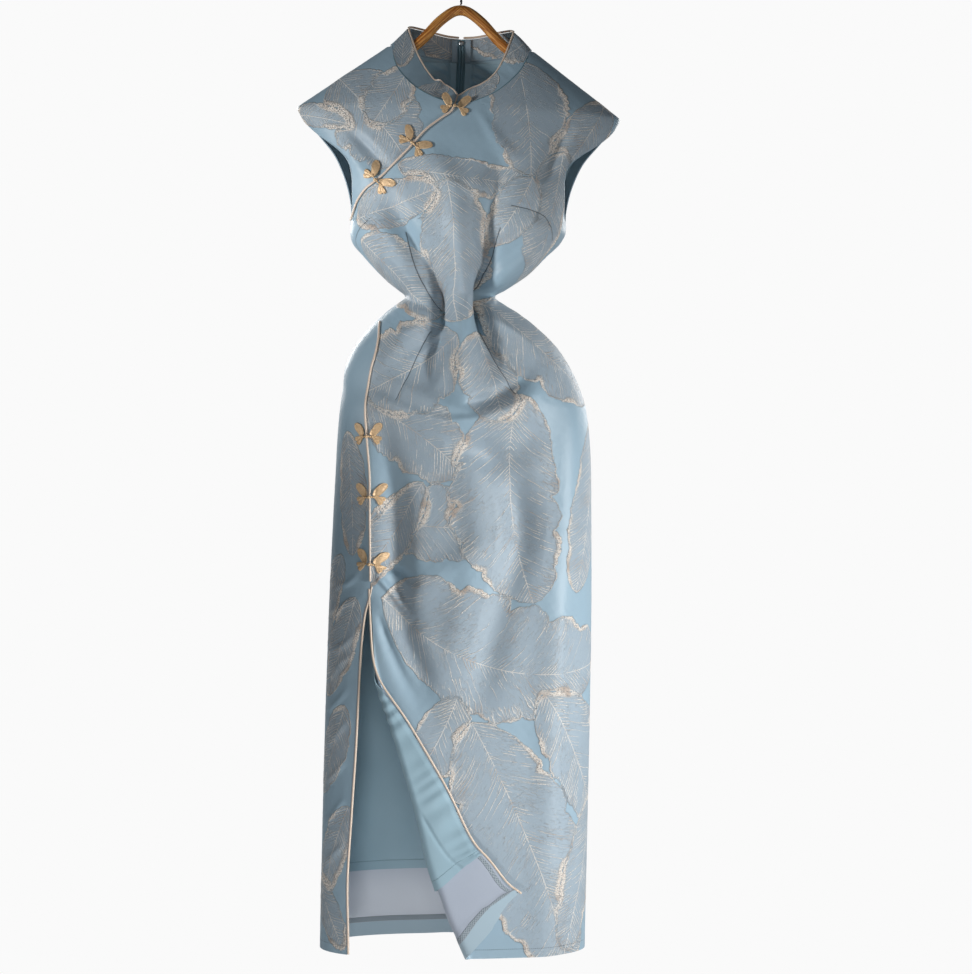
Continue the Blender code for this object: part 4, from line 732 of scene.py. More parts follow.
def cordAlong(path, outOf, thick, sides=10):  # a round cord with domed ends along a path
    along = unit(np.gradient(path, axis=0))
    across = unit(outOf - along * (outOf * along).sum(-1, keepdims=True))
    aside = np.cross(along, across)
    dome = np.radians([12, 35, 62])  # three rings round each end
    size = np.concatenate([np.sin(dome), np.ones(len(path)), np.sin(dome[::-1])]) * thick
    head = path[:1] - along[:1] * (thick * np.cos(dome))[:, None]
    tail = path[-1:] + along[-1:] * (thick * np.cos(dome[::-1]))[:, None]
    path = np.vstack([head, path, tail])
    across = np.vstack([np.repeat(across[:1], 3, 0), across, np.repeat(across[-1:], 3, 0)])
    aside = np.vstack([np.repeat(aside[:1], 3, 0), aside, np.repeat(aside[-1:], 3, 0)])
    return barrel(path, across, aside, size, sides)


def even(path, count, *others):  # a path with evenly spaced points, and what goes with it
    run = np.concatenate([[0], np.cumsum(np.linalg.norm(np.diff(path, axis=0), axis=1))])
    at = np.linspace(0, run[-1], count)
    out = [np.stack([np.interp(at, run, data[:, k]) for k in range(3)], axis=1)
           for data in (path, *others)]
    return out if others else out[0]


def together(parts):  # several (points, faces) as one
    points, faces, start = [], [], 0
    for place, cells in parts:
        points.append(place)
        faces += [[v + start for v in cell] for cell in cells]
        start += len(place)
    return np.vstack(points), faces


def oneSide(item):  # area of one side of a closed thin shell
    area = np.zeros(len(item.data.polygons))
    item.data.polygons.foreach_get("area", area)
    return round(float(area.sum()) / 2, 4)


def laySheet(name, node, outer, inner, faces, materials, uv, area, slots=None,
             fields=None):  # a piece of cloth from its two faces, on the dress's body
    points = np.concatenate([outer.reshape(-1, 3), inner.reshape(-1, 3)])
    item = layMesh(name, points, faces, materials, slots, uv, fields)
    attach(item, bodyName)
    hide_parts(node)
    print(name, len(faces), "faces", oneSide(item), "m2 against", area)


def layTrim(name, points, faces, node, made, slot, sharp=60):  # a hard or corded piece
    item = layMesh(name, points, faces, (made,), sharp=sharp)
    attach(item, bodyName)
    if node:
        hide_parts(node)


def layCord(name, path, outOf, count, thick, node, made, slot, sides=10):  # evenly spaced
    points, faces = cordAlong(*even(path, count, outOf), thick, sides)
    layTrim(name, points, faces, node, made, slot)


# woven leaves
# stalk and tip (distance round from the centre front, height), half widths to the left and
# to the right of the way from stalk to tip, bend, number of lobes, seed
leaves = {
    "gap": 0.0012,
    "zipAt": 0.41,             # distance round at which the backs' patterns have the zip
    "front": metres(
        (-126.3, 688.9, 0.8, 597.7, 44.3, 46.8, 0.05, 3, 3.1),
        (-117.2, 541, 54.2, 531.2, 49.3, 40.7, -0.02, 4, 1.7),
        (64.4, 698.7, 91.4, 437.6, 56.7, 73.9, -0.06, 5, 2.3),
        (4.7, 770.2, -125.8, 698.7, 51.7, 54.2, 0.05, 3, 4.2),
        (29.9, 775.1, 45.3, 661.8, 29.6, 41.9, 0.04, 3, 5.5),
        (44.3, 814.5, 193.5, 693.8, 37, 44.3, -0.04, 4, 6.3),
        (198.9, 664.2, 148.3, 449.9, 27.1, 37, 0.02, 3, 7.4),
        (-97.7, 445, 203.8, 363.7, 81.3, 61.6, -0.15, 5, 8.6),
        (0, 321.8, -47, 225.7, 44.3, 29.6, 0.03, 2, 9.2),
        (107.1, 326.7, 202.6, 154.2, 59.1, 39.4, 0.02, 4, 10.1),
        (18, 292.2, 151.1, -20.7, 61.6, 71.5, 0.03, 5, 11.7),
        (203, 196.1, 144.8, 5.2, 29.6, 32, 0, 3, 12.9),
        (-48.4, 587.9, -129.8, 454.8, 24.6, 27.1, 0, 3, 13.4),
        (71, 1122.6, 91.5, 967.2, 54.2, 44.3, 0.04, 3, 14.2),
        (192.1, 1075.6, 129.1, 973.2, 32, 32, 0.03, 2, 15.8),
        (-75.1, 977.2, 89.1, 962, 23.4, 24.6, -0.04, 3, 16.3),
        (-13, 959.5, 6.3, 785, 46.8, 41.9, 0.02, 4, 17.9),
        (-124.3, 890.5, -17.5, 792.4, 37, 29.6, 0.02, 3, 18.4),
        (135, 1003.9, 101.5, 836.7, 24.6, 34.5, 0.02, 3, 19.6),
        (-138.1, 914.2, -25.3, 949.4, 29.6, 24.6, -0.03, 2, 20.5),
        (94.1, 967.2, 45.4, 881.1, 24.6, 27.1, 0.02, 2, 21.3), lengths=6),
    "shoulder": metres(
        (-161.1, 1096.5, -62.5, 982.4, 54.2, 56.7, 0.04, 4, 22.6),
        (-61.7, 1107.9, -107.2, 1029.8, 24.6, 29.6, 0.02, 2, 23.1),
        (-220.2, 1045.8, -135.1, 1028.7, 17.2, 12.3, 0.02, 2, 26.3), lengths=6),
    # the right back: distance from the centre front round the right side
    "backRight": metres(
        (215, 55, 325, 265, 52, 50, 0.05, 5, 31.2), (400, 20, 372, 180, 32, 30, 0.04, 4, 32.4),
        (235, 470, 375, 330, 52, 48, -0.05, 5, 33.9), (205, 590, 245, 500, 24, 26, 0.03, 3, 34.3),
        (395, 650, 290, 480, 45, 52, 0.05, 5, 35.5), (230, 800, 345, 640, 36, 44, -0.04, 4, 36.1),
        (395, 860, 360, 720, 28, 26, 0.03, 4, 37.8), (215, 940, 330, 850, 34, 32, 0.04, 4, 38.6),
        (335, 1115, 250, 985, 44, 40, -0.05, 5, 39.4),
        (405, 925, 365, 1085, 30, 28, 0.04, 4, 40.7), (402, 215, 325, 330, 34, 36, 0.04, 4, 71.3),
        (212, 275, 262, 385, 26, 28, -0.03, 3, 72.8), (404, 470, 388, 350, 22, 24, 0.03, 3, 73.4),
        (402, 720, 340, 668, 24, 22, 0.03, 3, 74.9),
        (270, 22, 345, 98, 28, 26, -0.03, 3, 75.2), lengths=6),
    # the left back: distance from the centre front round the left side
    "backLeft": metres(
        (-133, 775, -120, 690, 18, 16, 0.03, 3, 41.3),
        (-165, 652, -143, 496, 23, 21, 0.03, 3, 42.2),
        (-162, 498, -200, 381, 22, 24, -0.03, 3, 43.6),
        (-136, 445, -185, 319, 22, 24, 0.03, 3, 44.5),
        (-148, 310, -195, 196, 23, 23, 0.03, 4, 45.1),
        (-140, 185, -180, 67, 21, 23, -0.03, 3, 56.4), (-200, 90, -145, 5, 20, 20, 0.02, 2, 57.8),
        (-225, 35, -335, 235, 52, 48, -0.05, 5, 46.8),
        (-400, 260, -365, 65, 32, 30, 0.04, 4, 47.4),
        (-235, 290, -355, 435, 48, 52, 0.05, 5, 48.9),
        (-398, 620, -270, 490, 48, 44, -0.04, 5, 49.3),
        (-235, 760, -350, 635, 40, 36, 0.04, 4, 50.6),
        (-395, 870, -360, 730, 26, 28, 0.03, 4, 51.5),
        (-205, 900, -325, 840, 32, 30, -0.03, 4, 52.2),
        (-395, 955, -270, 1030, 42, 38, 0.05, 5, 53.7),
        (-210, 990, -260, 1090, 26, 24, 0.03, 3, 54.1),
        (-400, 1090, -330, 1115, 22, 20, 0.02, 3, 55.6),
        (-404, 300, -348, 430, 30, 32, 0.04, 4, 76.1),
        (-240, 565, -295, 645, 24, 26, 0.03, 3, 77.7),
        (-355, 22, -295, 90, 24, 22, -0.03, 3, 78.6),
        (-402, 715, -356, 650, 22, 24, 0.03, 3, 79.5), lengths=6),
    "collarRight": metres(
        (12, 4, 75, 30, 20, 18, 0.03, 3, 61.2), (150, 6, 95, 34, 18, 20, 0.03, 3, 62.4),
        (165, 0, 235, 36, 20, 20, 0.03, 3, 65.1), lengths=6),
    "collarLeft": metres(
        (50, -4, 18, 32, 14, 14, 0.03, 3, 63.3), (90, 4, 150, 32, 20, 18, 0.03, 3, 64.8),
        (245, 2, 175, 34, 18, 20, 0.03, 3, 66.9), lengths=6),
}


def ragged(seed, at):  # a sum of four sines of uneven pitch, between about -1 and 1
    return (np.sin(7.1 * at + seed) + 0.7 * np.sin(17.3 * at + 2.1 * seed)
            + 0.45 * np.sin(39.7 * at + 3.7 * seed) + 0.3 * np.sin(83.0 * at + 5.3 * seed)) / 2.0


def leafShape(row):  # the midrib as a bent line, and the lobed outline about it
    start, tip = np.array(row[0:2]), np.array(row[2:4])
    halves, (bend, lobes, seed) = row[4:6], row[6:]
    way = tip - start
    long = np.hypot(*way)
    normal = np.array([-way[1], way[0]]) / long

    def rib(t):
        return start + way * t[:, None] + normal * (4 * bend * long * t * (1 - t))[:, None]

    sides = []
    for sign, half in ((1, halves[0]), (-1, halves[1])):
        t = np.linspace(0, 1, 84)
        wide = t ** 0.42 * (1 - t) ** 0.50 / 0.497
        run = t ** 1.15 * lobes + 0.15 * np.sin(seed + 5 * t)
        deep = 0.13 + 0.08 * np.sin(seed * 1.7 + 2.4 * np.floor(run) * sign)
        scallop = 1 - deep * (1 - np.abs(np.sin(math.pi * run)) ** 0.55)
        wide = half * wide * scallop * (1 + 0.045 * ragged(seed * sign, t * 6))
        lean = way / long * (0.30 * wide * (1 - t) - 0.04 * half * (1 - scallop) * 4)[:, None]
        sides.append(rib(t) + normal * (sign * wide)[:, None] + lean)
    outline = np.vstack([sides[0], sides[1][-2:0:-1]])
    return rib(np.linspace(0, 1, 22)), outline


def nearest(points, a, b):  # distance, side and run of the nearest segment of a chain
    best = np.full(len(points), 1e9)
    side, run = np.zeros(len(points)), np.zeros(len(points))
    gone = 0.0
    for p, q in zip(a, b):
        along = q - p
        long = math.hypot(*along)
        t = np.clip(((points - p) @ along) / (long * long), 0, 1)
        off = points - p - t[:, None] * along
        away = (off ** 2).sum(1)
        closer = away < best
        best = np.where(closer, away, best)
        side = np.where(closer, np.sign(along[0] * off[:, 1] - along[1] * off[:, 0]), side)
        run = np.where(closer, gone + t * long, run)
        gone += long
    return np.sqrt(best), side, run


def about(points, shape):  # the points within 12 mm of a shape's box
    low, high = shape.min(0) - 0.012, shape.max(0) + 0.012
    return np.nonzero(((points > low) & (points < high)).all(1))[0]


def inside(points, outline):  # even number of crossings means outside
    odd = np.zeros(len(points), bool)
    for p, q in zip(outline, np.roll(outline, -1, axis=0)):
        if p[1] == q[1]:
            continue
        span = (p[1] > points[:, 1]) != (q[1] > points[:, 1])
        odd ^= span & (points[:, 0] < p[0] + (points[:, 1] - p[1]) * (q[0] - p[0]) / (q[1] - p[1]))
    return odd


def leafFields(rows, s, h):  # signed distance to the leaves' edge, place along and across
    points = np.stack([s.ravel(), h.ravel()], axis=1)
    count = len(points)
    edge = np.full(count, 0.05)
    along, across, seed = np.zeros((3, count))
    for row in rows:
        ribLine, outline = leafShape(row)
        near = about(points, outline)
        if not len(near):
            continue
        here = points[near]
        away = nearest(here, outline, np.roll(outline, -1, axis=0))[0]
        away = np.where(inside(here, outline), -away, away)
        off, side, run = nearest(here, ribLine[:-1], ribLine[1:])
        old = np.maximum(edge[near], leaves["gap"] - away)
        closer = away < old
        edge[near] = np.minimum(old, away)
        along[near] = np.where(closer, run, along[near])
        across[near] = np.where(closer, off * side, across[near])
        seed[near] = np.where(closer, row[8], seed[near])
    return {"leafEdge": edge, "leafAlong": along, "leafAcross": across, "leafSeed": seed}


def relief(fields, s, h):  # low ridges along the leaves' edges and puckers beside them
    edge, across = fields["leafEdge"], fields["leafAcross"]
    s, h = s.ravel(), h.ravel()
    uneven = 0.6 + 0.4 * np.sin(s * 310 + 2 * np.sin(h * 170)) * np.sin(h * 260 + s * 90)
    ridge = np.exp(-((edge + 0.0016) / 0.0022) ** 2) * uneven
    rib = np.exp(-(across / 0.0020) ** 2) * (edge < -0.004)
    puff = smooth(0.0, -0.012, edge)
    return (0.00042 * ridge + 0.00018 * puff - 0.00022 * rib
            + 0.00010 * np.sin(s * 420 + 3 * np.sin(h * 95)) * np.sin(h * 380))


# materials
class Wire:  # a socket whose arithmetic adds Math nodes, and node() for every other node
    def __init__(self, tree, socket=None):
        self.tree, self.socket = tree, socket

    def node(self, kind, settings=None, sockets=None, output=0):
        made = self.tree.nodes.new(kind)
        for key, value in (settings or {}).items():
            setattr(made, key, value)
        for key, value in (sockets or {}).items():
            if isinstance(value, Wire):
                self.tree.links.new(value.socket, made.inputs[key])
            else:
                made.inputs[key].default_value = value
        return Wire(self.tree, made.outputs[output])

    def math(self, operation, *values):
        return self.node("ShaderNodeMath", {"operation": operation}, dict(enumerate(values)))

    def __rsub__(self, other):
        return self.math("SUBTRACT", other, self)

    def size(self):
        return self.math("ABSOLUTE", self)

    def part(self):
        return self.math("FRACT", self)

    def step(self, low, high):  # a soft step from 0 at low to 1 at high
        return self.node("ShaderNodeMapRange", {"interpolation_type": "SMOOTHSTEP"},
                         {"Value": self, "From Min": low, "From Max": high})

    def mix(self, a, b):  # colour a where this is 0, b where it is 1
        a, b = ((*c, 1.0) if isinstance(c, tuple) and len(c) == 3 else c for c in (a, b))
        return self.node("ShaderNodeMix", {"data_type": "RGBA"}, {0: self, 6: a, 7: b}, 2)

    def vector(self, x, y, z=0.0):
        return self.node("ShaderNodeCombineXYZ", None, {0: x, 1: y, 2: z})

    def noise(self, scale, detail=2.0, rough=0.5):  # noise read at this vector
        return self.node("ShaderNodeTexNoise", None,
                         {"Vector": self, "Scale": scale, "Detail": detail, "Roughness": rough})

    def field(self, name):
        return self.node("ShaderNodeAttribute", {"attribute_name": name}, None, 2)

    def place(self, kind):  # the cloth's own map, or object coordinates
        if kind == "cloth":
            return self.node("ShaderNodeUVMap", {"uv_map": "cloth"})
        return self.node("ShaderNodeTexCoord", None, None, 3)

    def axis(self, number):
        return self.node("ShaderNodeSeparateXYZ", None, {0: self}, number)


for method, operation in (("__add__", "ADD"), ("__sub__", "SUBTRACT"), ("__mul__", "MULTIPLY"),
                          ("__truediv__", "DIVIDE"), ("__pow__", "POWER"),
                          ("highest", "MAXIMUM")):
    setattr(Wire, method, lambda self, other, operation=operation: self.math(operation, self,
                                                                             other))
Wire.__radd__, Wire.__rmul__ = Wire.__add__, Wire.__mul__


def tone(red, green, blue):  # a colour as seen on screen, 0 to 255, as a linear one
    values = [v / 255 for v in (red, green, blue)]
    return tuple(v / 12.92 if v <= 0.04045 else ((v + 0.055) / 1.055) ** 2.4 for v in values)


def newMaterial(name, constants):  # a material, its starting wire and its shader
    made = bpy.data.materials.new(name)
    made.use_nodes = True
    shader = made.node_tree.nodes["Principled BSDF"]
    for key, value in constants.items():
        shader.inputs[key].default_value = (*value, 1.0) if isinstance(value, tuple) else value
    return made, Wire(made.node_tree), shader


def feed(shader, **wires):  # link wires to the shader's inputs, _ standing for a space
    for key, wire in wires.items():
        wire.tree.links.new(wire.socket, shader.inputs[key.replace("_", " ")])


def bumped(height, distance, strength):  # a normal from a height
    return height.node("ShaderNodeBump", None,
                       {"Height": height, "Distance": distance, "Strength": strength})


satin = {
    "ground": tone(158, 184, 201), "groundDeep": tone(143, 170, 188),
    "leaf": tone(163, 179, 192), "leafDeep": tone(146, 163, 177),
    # the second thread tone is the cream thread in painted shade
    "thread": tone(250, 244, 236), "threadShade": tone(168, 144, 126),
    # the dark tone is both the dart seams' thread and a painted shadow along the leaves' edges
    "dartThreadAndShade": tone(58, 66, 74),
    "roughness": 0.46, "pitch": 0.0044,
}


def jacquardMaterial():
    # ground and leaf by the signed distance to the leaf's edge; side veins run slantwise from
    # the midrib to the edge, each with its own length at either end; a crusty band follows
    # some stretches of the edge
    made, wire, shader = newMaterial("jacquard", {"Sheen Weight": 0.10, "Sheen Roughness": 0.35,
                                                  "Specular IOR Level": 0.5})
    cloth = wire.place("cloth")
    s, h = cloth.axis(0), cloth.axis(1)
    edge, along = wire.field("leafEdge"), wire.field("leafAlong")
    across, seed = wire.field("leafAcross"), wire.field("leafSeed")
    wave = cloth.noise(230.0, 3.0, 0.7) - 0.5
    frayed = edge + wave * 0.0040
    fill = frayed.step(0.0004, -0.0004)
    depth = 0.0 - frayed
    crumb = cloth.noise(900.0, 2.0, 0.7)
    patch = cloth.noise(17.0, 1.5)
    lush = patch.step(0.47, 0.60)
    width = lush * (crumb * 0.004 + 0.0036) + patch.step(0.34, 0.45) * 0.0009 + 0.0004
    band = fill * (1 - (depth / width).step(0.55, 1.15))
    band = band * (cloth.noise(520.0, 2.0, 0.7).step(0.36, 0.46)) * (lush * 0.30 + 0.70)

    reach, near = across.size(), 0.0 - edge
    lean = along - reach * 0.98 + reach * reach * 4.0 + seed * 0.37
    comb = lean / satin["pitch"] + (wire.vector(lean * 30.0, reach * 45.0, seed).noise(1.0, 1.0)
                                    - 0.5) * 1.6
    number = comb.math("FLOOR", comb)
    chance = wire.node("ShaderNodeTexWhiteNoise", None, {"Vector": wire.vector(number, seed)})
    other = (chance * 7.31).part()
    third = (chance * 23.7).part()
    zone = wire.vector(along * 26.0, across * 26.0, seed).noise(1.0, 1.5)
    rich = zone.step(0.36, 0.62)
    fromEdge = (chance ** 1.9) * 0.064 * rich + 0.0022
    fromRib = (other ** 3.0) * 0.060 * (1.10 - rich) + 0.0004
    fan = wire.vector(along * 34.0, seed * 1.7, across.step(-0.0005, 0.0005) * 9.0)
    fan = fan.noise(1.0, 1.0).step(0.54, 0.62)
    fromRib = fromRib.highest(fan * (other * 0.014 + 0.006))
    thin = ((comb.part() - 0.5) + (third - 0.5) * 0.35).size()
    tooth = 1 - thin.step(0.07, 0.165)
    shown = (1 - (near / fromEdge).step(0.80, 1.05)).highest(
        1 - (reach / fromRib).step(0.75, 1.05))
    dotted = wire.vector(lean * 900.0, reach * 520.0).noise(1.0, 2.0, 0.7).step(0.38, 0.50)
    faint = wire.vector(along * 45.0, across * 45.0, seed + 3.0).noise(1.0, 1.0).step(0.34, 0.56)
    faint = faint.highest(fan * (1 - reach.step(0.010, 0.020)))
    stroke = (fill * tooth * shown * (dotted * 0.66 + 0.34) * (faint * 0.66 + 0.34)
              * edge.step(-0.0004, -0.0016))
    fuzz = (wire.vector(lean * 1500.0, reach * 150.0, seed).noise(1.0, 2.0, 0.65)
            - (0.665 - rich * 0.10 - (1 - near.step(0.002, 0.022)) * 0.06))
    fuzz = fill * fuzz.step(0.0, 0.05) * crumb.step(0.34, 0.52)
    ribbed = wire.vector(along * 60.0, seed).noise(1.0, 1.0)
    rib = fill * (1 - (reach + wave * 0.0004).step(0.00030, 0.00075)) * ribbed.step(0.34, 0.42)
    thread = band.highest(stroke).highest(rib * 0.60).highest(fuzz * 0.50)

    cloudy = cloth.noise(7.0, 2.0)
    weave = wire.vector(s * 5200.0, h * 900.0).noise(1.0, 1.0)
    blush = cloth.noise(330.0, 2.0, 0.6)
    ground = cloudy.mix(satin["groundDeep"], satin["ground"])
    leaf = (cloudy * 0.6 + blush * 0.4).mix(satin["leafDeep"], satin["leaf"])
    # painted shade on the thread: random patches and, in the crusty band, specks turn it brown-grey
    # as if shaded
    shadePatch = cloth.noise(38.0, 2.0).step(0.50, 0.68)
    shadeSpeck = cloth.noise(640.0, 2.0, 0.6).step(0.50, 0.60) * band
    threadTone = (shadePatch * 0.66).highest(shadeSpeck * 0.80).mix(satin["thread"], satin["threadShade"])
    colour = (thread * 0.92).mix((fill * 0.92).mix(ground, leaf), threadTone)
    shade = weave * 0.10 + 0.95
    colour = wire.node("ShaderNodeMix", {"data_type": "RGBA", "blend_type": "MULTIPLY"},
                       {0: 1.0, 6: colour, 7: wire.vector(shade, shade, shade)}, 2)
    seam = (wire.field("dartSide") + wave * 0.0002).size()
    sewn = (1 - seam.step(0.00025, 0.0007)) * wire.field("dartShown").step(0.45, 0.55)
    stitch = (h - 0.0110).size().step(0.0006, 0.0002) * (s * 420.0).part().step(0.25, 0.35)
    sewn = sewn.highest(stitch * 0.55)
    colour = (sewn * 0.85).mix(colour, satin["dartThreadAndShade"])
    # painted shadow: a thin dark line just inside the leaves' edges
    rim = 1 - (edge + 0.0004).size().step(0.0006, 0.0022)
    colour = (rim * (1 - thread) * 0.12).mix(colour, satin["dartThreadAndShade"])
    height = (thread * 0.75 + fill * 0.18 + crumb * band * 1.4 + weave * 0.10
              + (cloth.noise(160.0, 2.0) * (1 - edge.size().step(0.004, 0.016))) * 0.45
              - sewn * 0.6)
    rough = satin["roughness"] + thread * 0.12 + fill * 0.06 + (weave - 0.5) * 0.10
    feed(shader, Base_Color=colour, Roughness=rough, Normal=bumped(height, 0.0009, 0.9))
    return made


reverse = {
    "plain": tone(178, 188, 203), "plainDeep": tone(160, 170, 187),
    # float: painted light, the lighter wrong side low on the backs
    "float": tone(214, 221, 232), "hem": tone(168, 190, 204), "inside": tone(158, 184, 198),
    "lock": tone(104, 118, 130), "lockPale": tone(166, 178, 188),
    "hemTop": 0.0175, "lockTop": 0.0240, "insideFrom": 0.520,
}


def reverseMaterial():  # the wrong side: turned hem, overlocked edge, then floating threads, with painted light low on the backs' wrong side
    made, wire, shader = newMaterial("jacquard wrong side", {"Specular IOR Level": 0.3,
                                                             "Sheen Weight": 0.1})
    cloth = wire.place("cloth")
    s, h = cloth.axis(0), cloth.axis(1)
    turned = h.step(reverse["hemTop"] + 0.0003, reverse["hemTop"] - 0.0003)
    locked = (h.step(reverse["hemTop"] - 0.0002, reverse["hemTop"] + 0.0003)
              * h.step(reverse["lockTop"] + 0.0003, reverse["lockTop"] - 0.0003))
    beside = wire.field("edgeRun")
    strip = (beside.step(0.0016, 0.0022) * beside.step(0.0072, 0.0066)
             * h.step(reverse["lockTop"], reverse["lockTop"] + 0.001))
    locked = locked.highest(strip)
    run = locked * 0 + s + h
    zigzag = ((run * 300.0).part() - 0.5).size() * 2.0
    lace = (zigzag + ((s - h) * 300.0).part()).step(0.55, 1.1)
    clouds = cloth.noise(24.0, 2.0)
    fibre = wire.vector(s * 240.0, h * 2400.0).noise(1.0, 2.0)
    plain = (clouds * 0.5 + fibre * 0.5).mix(reverse["plainDeep"], reverse["plain"])
    upper = h.step(reverse["insideFrom"] - 0.001, reverse["insideFrom"])
    plain = upper.mix(plain, reverse["inside"])
    # painted light: the backs' wrong side turns lighter towards the hem, away from the front
    plain = (s.size().step(0.20, 0.24) * h.step(0.12, 0.05)).mix(plain, reverse["float"])
    colour = turned.mix(plain, reverse["hem"])
    colour = locked.mix(colour, lace.mix(reverse["lock"], reverse["lockPale"]))
    height = fibre * 0.25 + turned * 0.9 + locked * (0.8 + lace * 0.5)
    feed(shader, Base_Color=colour, Roughness=0.55 + fibre * 0.1,
         Normal=bumped(height, 0.0007, 0.8))
    return made


def liningMaterial():  # thin polyester satin: fine crosswise grain and soft clouds
    made, wire, shader = newMaterial("lining satin", {"Specular IOR Level": 0.45,
                                                      "Sheen Weight": 0.1})
    cloth = wire.place("cloth")
    s, h = cloth.axis(0), cloth.axis(1)
    grain = wire.vector(s * 500.0, h * 4200.0).noise(1.0, 2.0)
    clouds = cloth.noise(14.0, 2.0)
    colour = (clouds * 0.7 + grain * 0.3).mix(tone(138, 168, 184), tone(156, 186, 201))
    stitch = ((h - 0.0965).size().step(0.0007, 0.0002)
              * (s * 380.0).part().step(0.30, 0.42))
    colour = (stitch * 0.5).mix(colour, tone(70, 96, 108))
    ripple = wire.vector(s * 60.0, h * 22.0).noise(1.0, 2.0)
    feed(shader, Base_Color=colour, Roughness=0.40 + grain * 0.08,
         Normal=bumped(grain * 0.2 + ripple * 0.6 - stitch * 0.8, 0.0008, 0.7))
    return made


def plainMaterial(name, low, high, roughness, scale, metallic=0.0, constants=None, depth=0.0003):
    # two tones mixed by soft noise, with a faint unevenness
    made, wire, shader = newMaterial(name, {"Metallic": metallic, **(constants or {})})
    place = wire.place("object")
    cloud = place.noise(scale, 3.0, 0.6)
    fine = place.noise(scale * 14, 2.0)
    feed(shader, Base_Color=cloud.mix(low, high), Roughness=roughness + (fine - 0.5) * 0.12,
         Normal=bumped(cloud * 0.5 + fine * 0.5, depth, 0.6))
    return made


jacquard = jacquardMaterial()
wrongSide = reverseMaterial()
lining = liningMaterial()
pipingSatin = plainMaterial("piping satin", tone(206, 184, 166), tone(240, 224, 208), 0.38, 900.0,
                            constants={"Sheen Weight": 0.2}, depth=0.0002)
goldMetal = plainMaterial("antique gold", tone(178, 142, 104), tone(240, 212, 172), 0.44, 420.0,
                          0.3, depth=0.0005)


def woodMaterial():  # grain lines along the arms, from a noise long along them and fine across
    made, wire, shader = newMaterial("varnished wood", {"Coat Weight": 0.35,
                                                        "Coat Roughness": 0.2})
    place = wire.place("object")
    x, y, z = (place.axis(k) for k in range(3))
    grain = wire.vector(y * 420.0, (z + x.size() * 0.85) * 420.0, x * 14.0).noise(1.0, 3.0, 0.6)
    line = grain.step(0.40, 0.62)
    colour = line.mix(tone(178, 104, 38), tone(244, 178, 94))
    feed(shader, Base_Color=colour, Roughness=0.36 + line * 0.10,
         Normal=bumped(line, 0.0003, 0.5))
    return made


def tapeMaterial():  # teal tape; in the collar what lies beside its folds is turned-in jacquard
    made, wire, shader = newMaterial("zip tape cloth", {"Specular IOR Level": 0.3})
    place = wire.place("object")
    x, z = place.axis(0), place.axis(2)
    weave = wire.vector(x * 2600.0, z * 1500.0).noise(1.0, 2.0)
    tape = weave.mix(tone(92, 122, 136), tone(116, 148, 162))
    facingCloth = place.noise(90.0, 3.0, 0.7).mix(satin["groundDeep"], satin["leafDeep"])
    beside = x.size().step(0.0044, 0.0052) * z.step(-0.146, -0.142)
    feed(shader, Base_Color=beside.mix(tape, facingCloth), Roughness=0.55 + weave * 0.1,
         Normal=bumped(weave, 0.0003, 0.5))
    return made


woodVarnish = woodMaterial()
hookSteel = plainMaterial("hook steel", tone(160, 162, 166), tone(196, 198, 202), 0.24, 90.0, 1.0)
zipMetal = plainMaterial("zip metal", tone(150, 154, 158), tone(190, 194, 198), 0.28, 200.0, 1.0)
tapeCloth = tapeMaterial()
bindingSatin = plainMaterial("binding satin", tone(128, 152, 168), tone(148, 174, 190), 0.42, 500.0)
print("materials made")


# panels: rows of heights as (from, to, count), closer together where the neck is cut in
panels = {
    "front": (0.0, 1.0575, 441), "yoke": (0.9235, 1.0575, 59), "back": (0.0, 1.1275, 419),
    "upper": ((1.0592, 1.0680, 9), (1.0700, 1.1360, 27)),
    "backNeck": (1.1288, 1.1300, 1.1318, 1.1335, 1.1348, 1.1360),
    "hemTurn": 0.0007,         # added thickness of the turned hem
    "dartDepth": 0.0007, "dartWidth": 0.0022,
    "zipGap": 0.00004, "underlap": 0.0018,
}
# dart seams as lines of (distance round from the centre front, height)
darts = {
    "front": (
        metres((-65.8, 897.9), (-53.2, 868.7), (-46.6, 852.7), (-33, 830), (-24.8, 818.2),
               (-13.7, 802.2), (-9.6, 796.1)),
        metres((-29.4, 775.1), (-42, 756), (-53.5, 735.7), (-80.4, 688.9)),
        metres((54.8, 902.3), (50.1, 868.7), (42.7, 847.8), (43.6, 823.2)),
        metres((36.4, 777.6), (42.5, 759), (49.4, 738.2), (66.6, 695)),
        metres((-151.3, 874.8), (-140, 892), (-125.8, 904.8), (-110.6, 914.4)),
        metres((129.8, 890.1), (121.5, 907), (111.2, 917.9), (85.9, 926.5), (66.4, 930)),
    ),
    "backRight": (metres((318, 960), (335, 880), (342, 815), (332, 750), (310, 690)),),
    "backLeft": (metres((-318, 960), (-335, 880), (-342, 815), (-332, 750), (-310, 690)),),
}


def dartFields(rows, s, h):  # signed distance to the nearest dart seam, and where it runs
    points = np.stack([s.ravel(), h.ravel()], axis=1)
    side, shown = np.full(len(points), 0.05), np.zeros(len(points))
    for row in rows:
        chain = np.array(row)
        near = about(points, chain)
        if not len(near):
            continue
        away, sign, run = nearest(points[near], chain[:-1], chain[1:])
        total = np.hypot(*np.diff(chain, axis=0).T).sum()
        closer = away < np.abs(side[near])
        side[near] = np.where(closer, away * sign, side[near])
        on = (run > 0.0004) & (run < total - 0.0004) & (away < 0.009)
        shown[near] = np.where(closer, on, shown[near])
    return {"dartSide": side, "dartShown": shown}


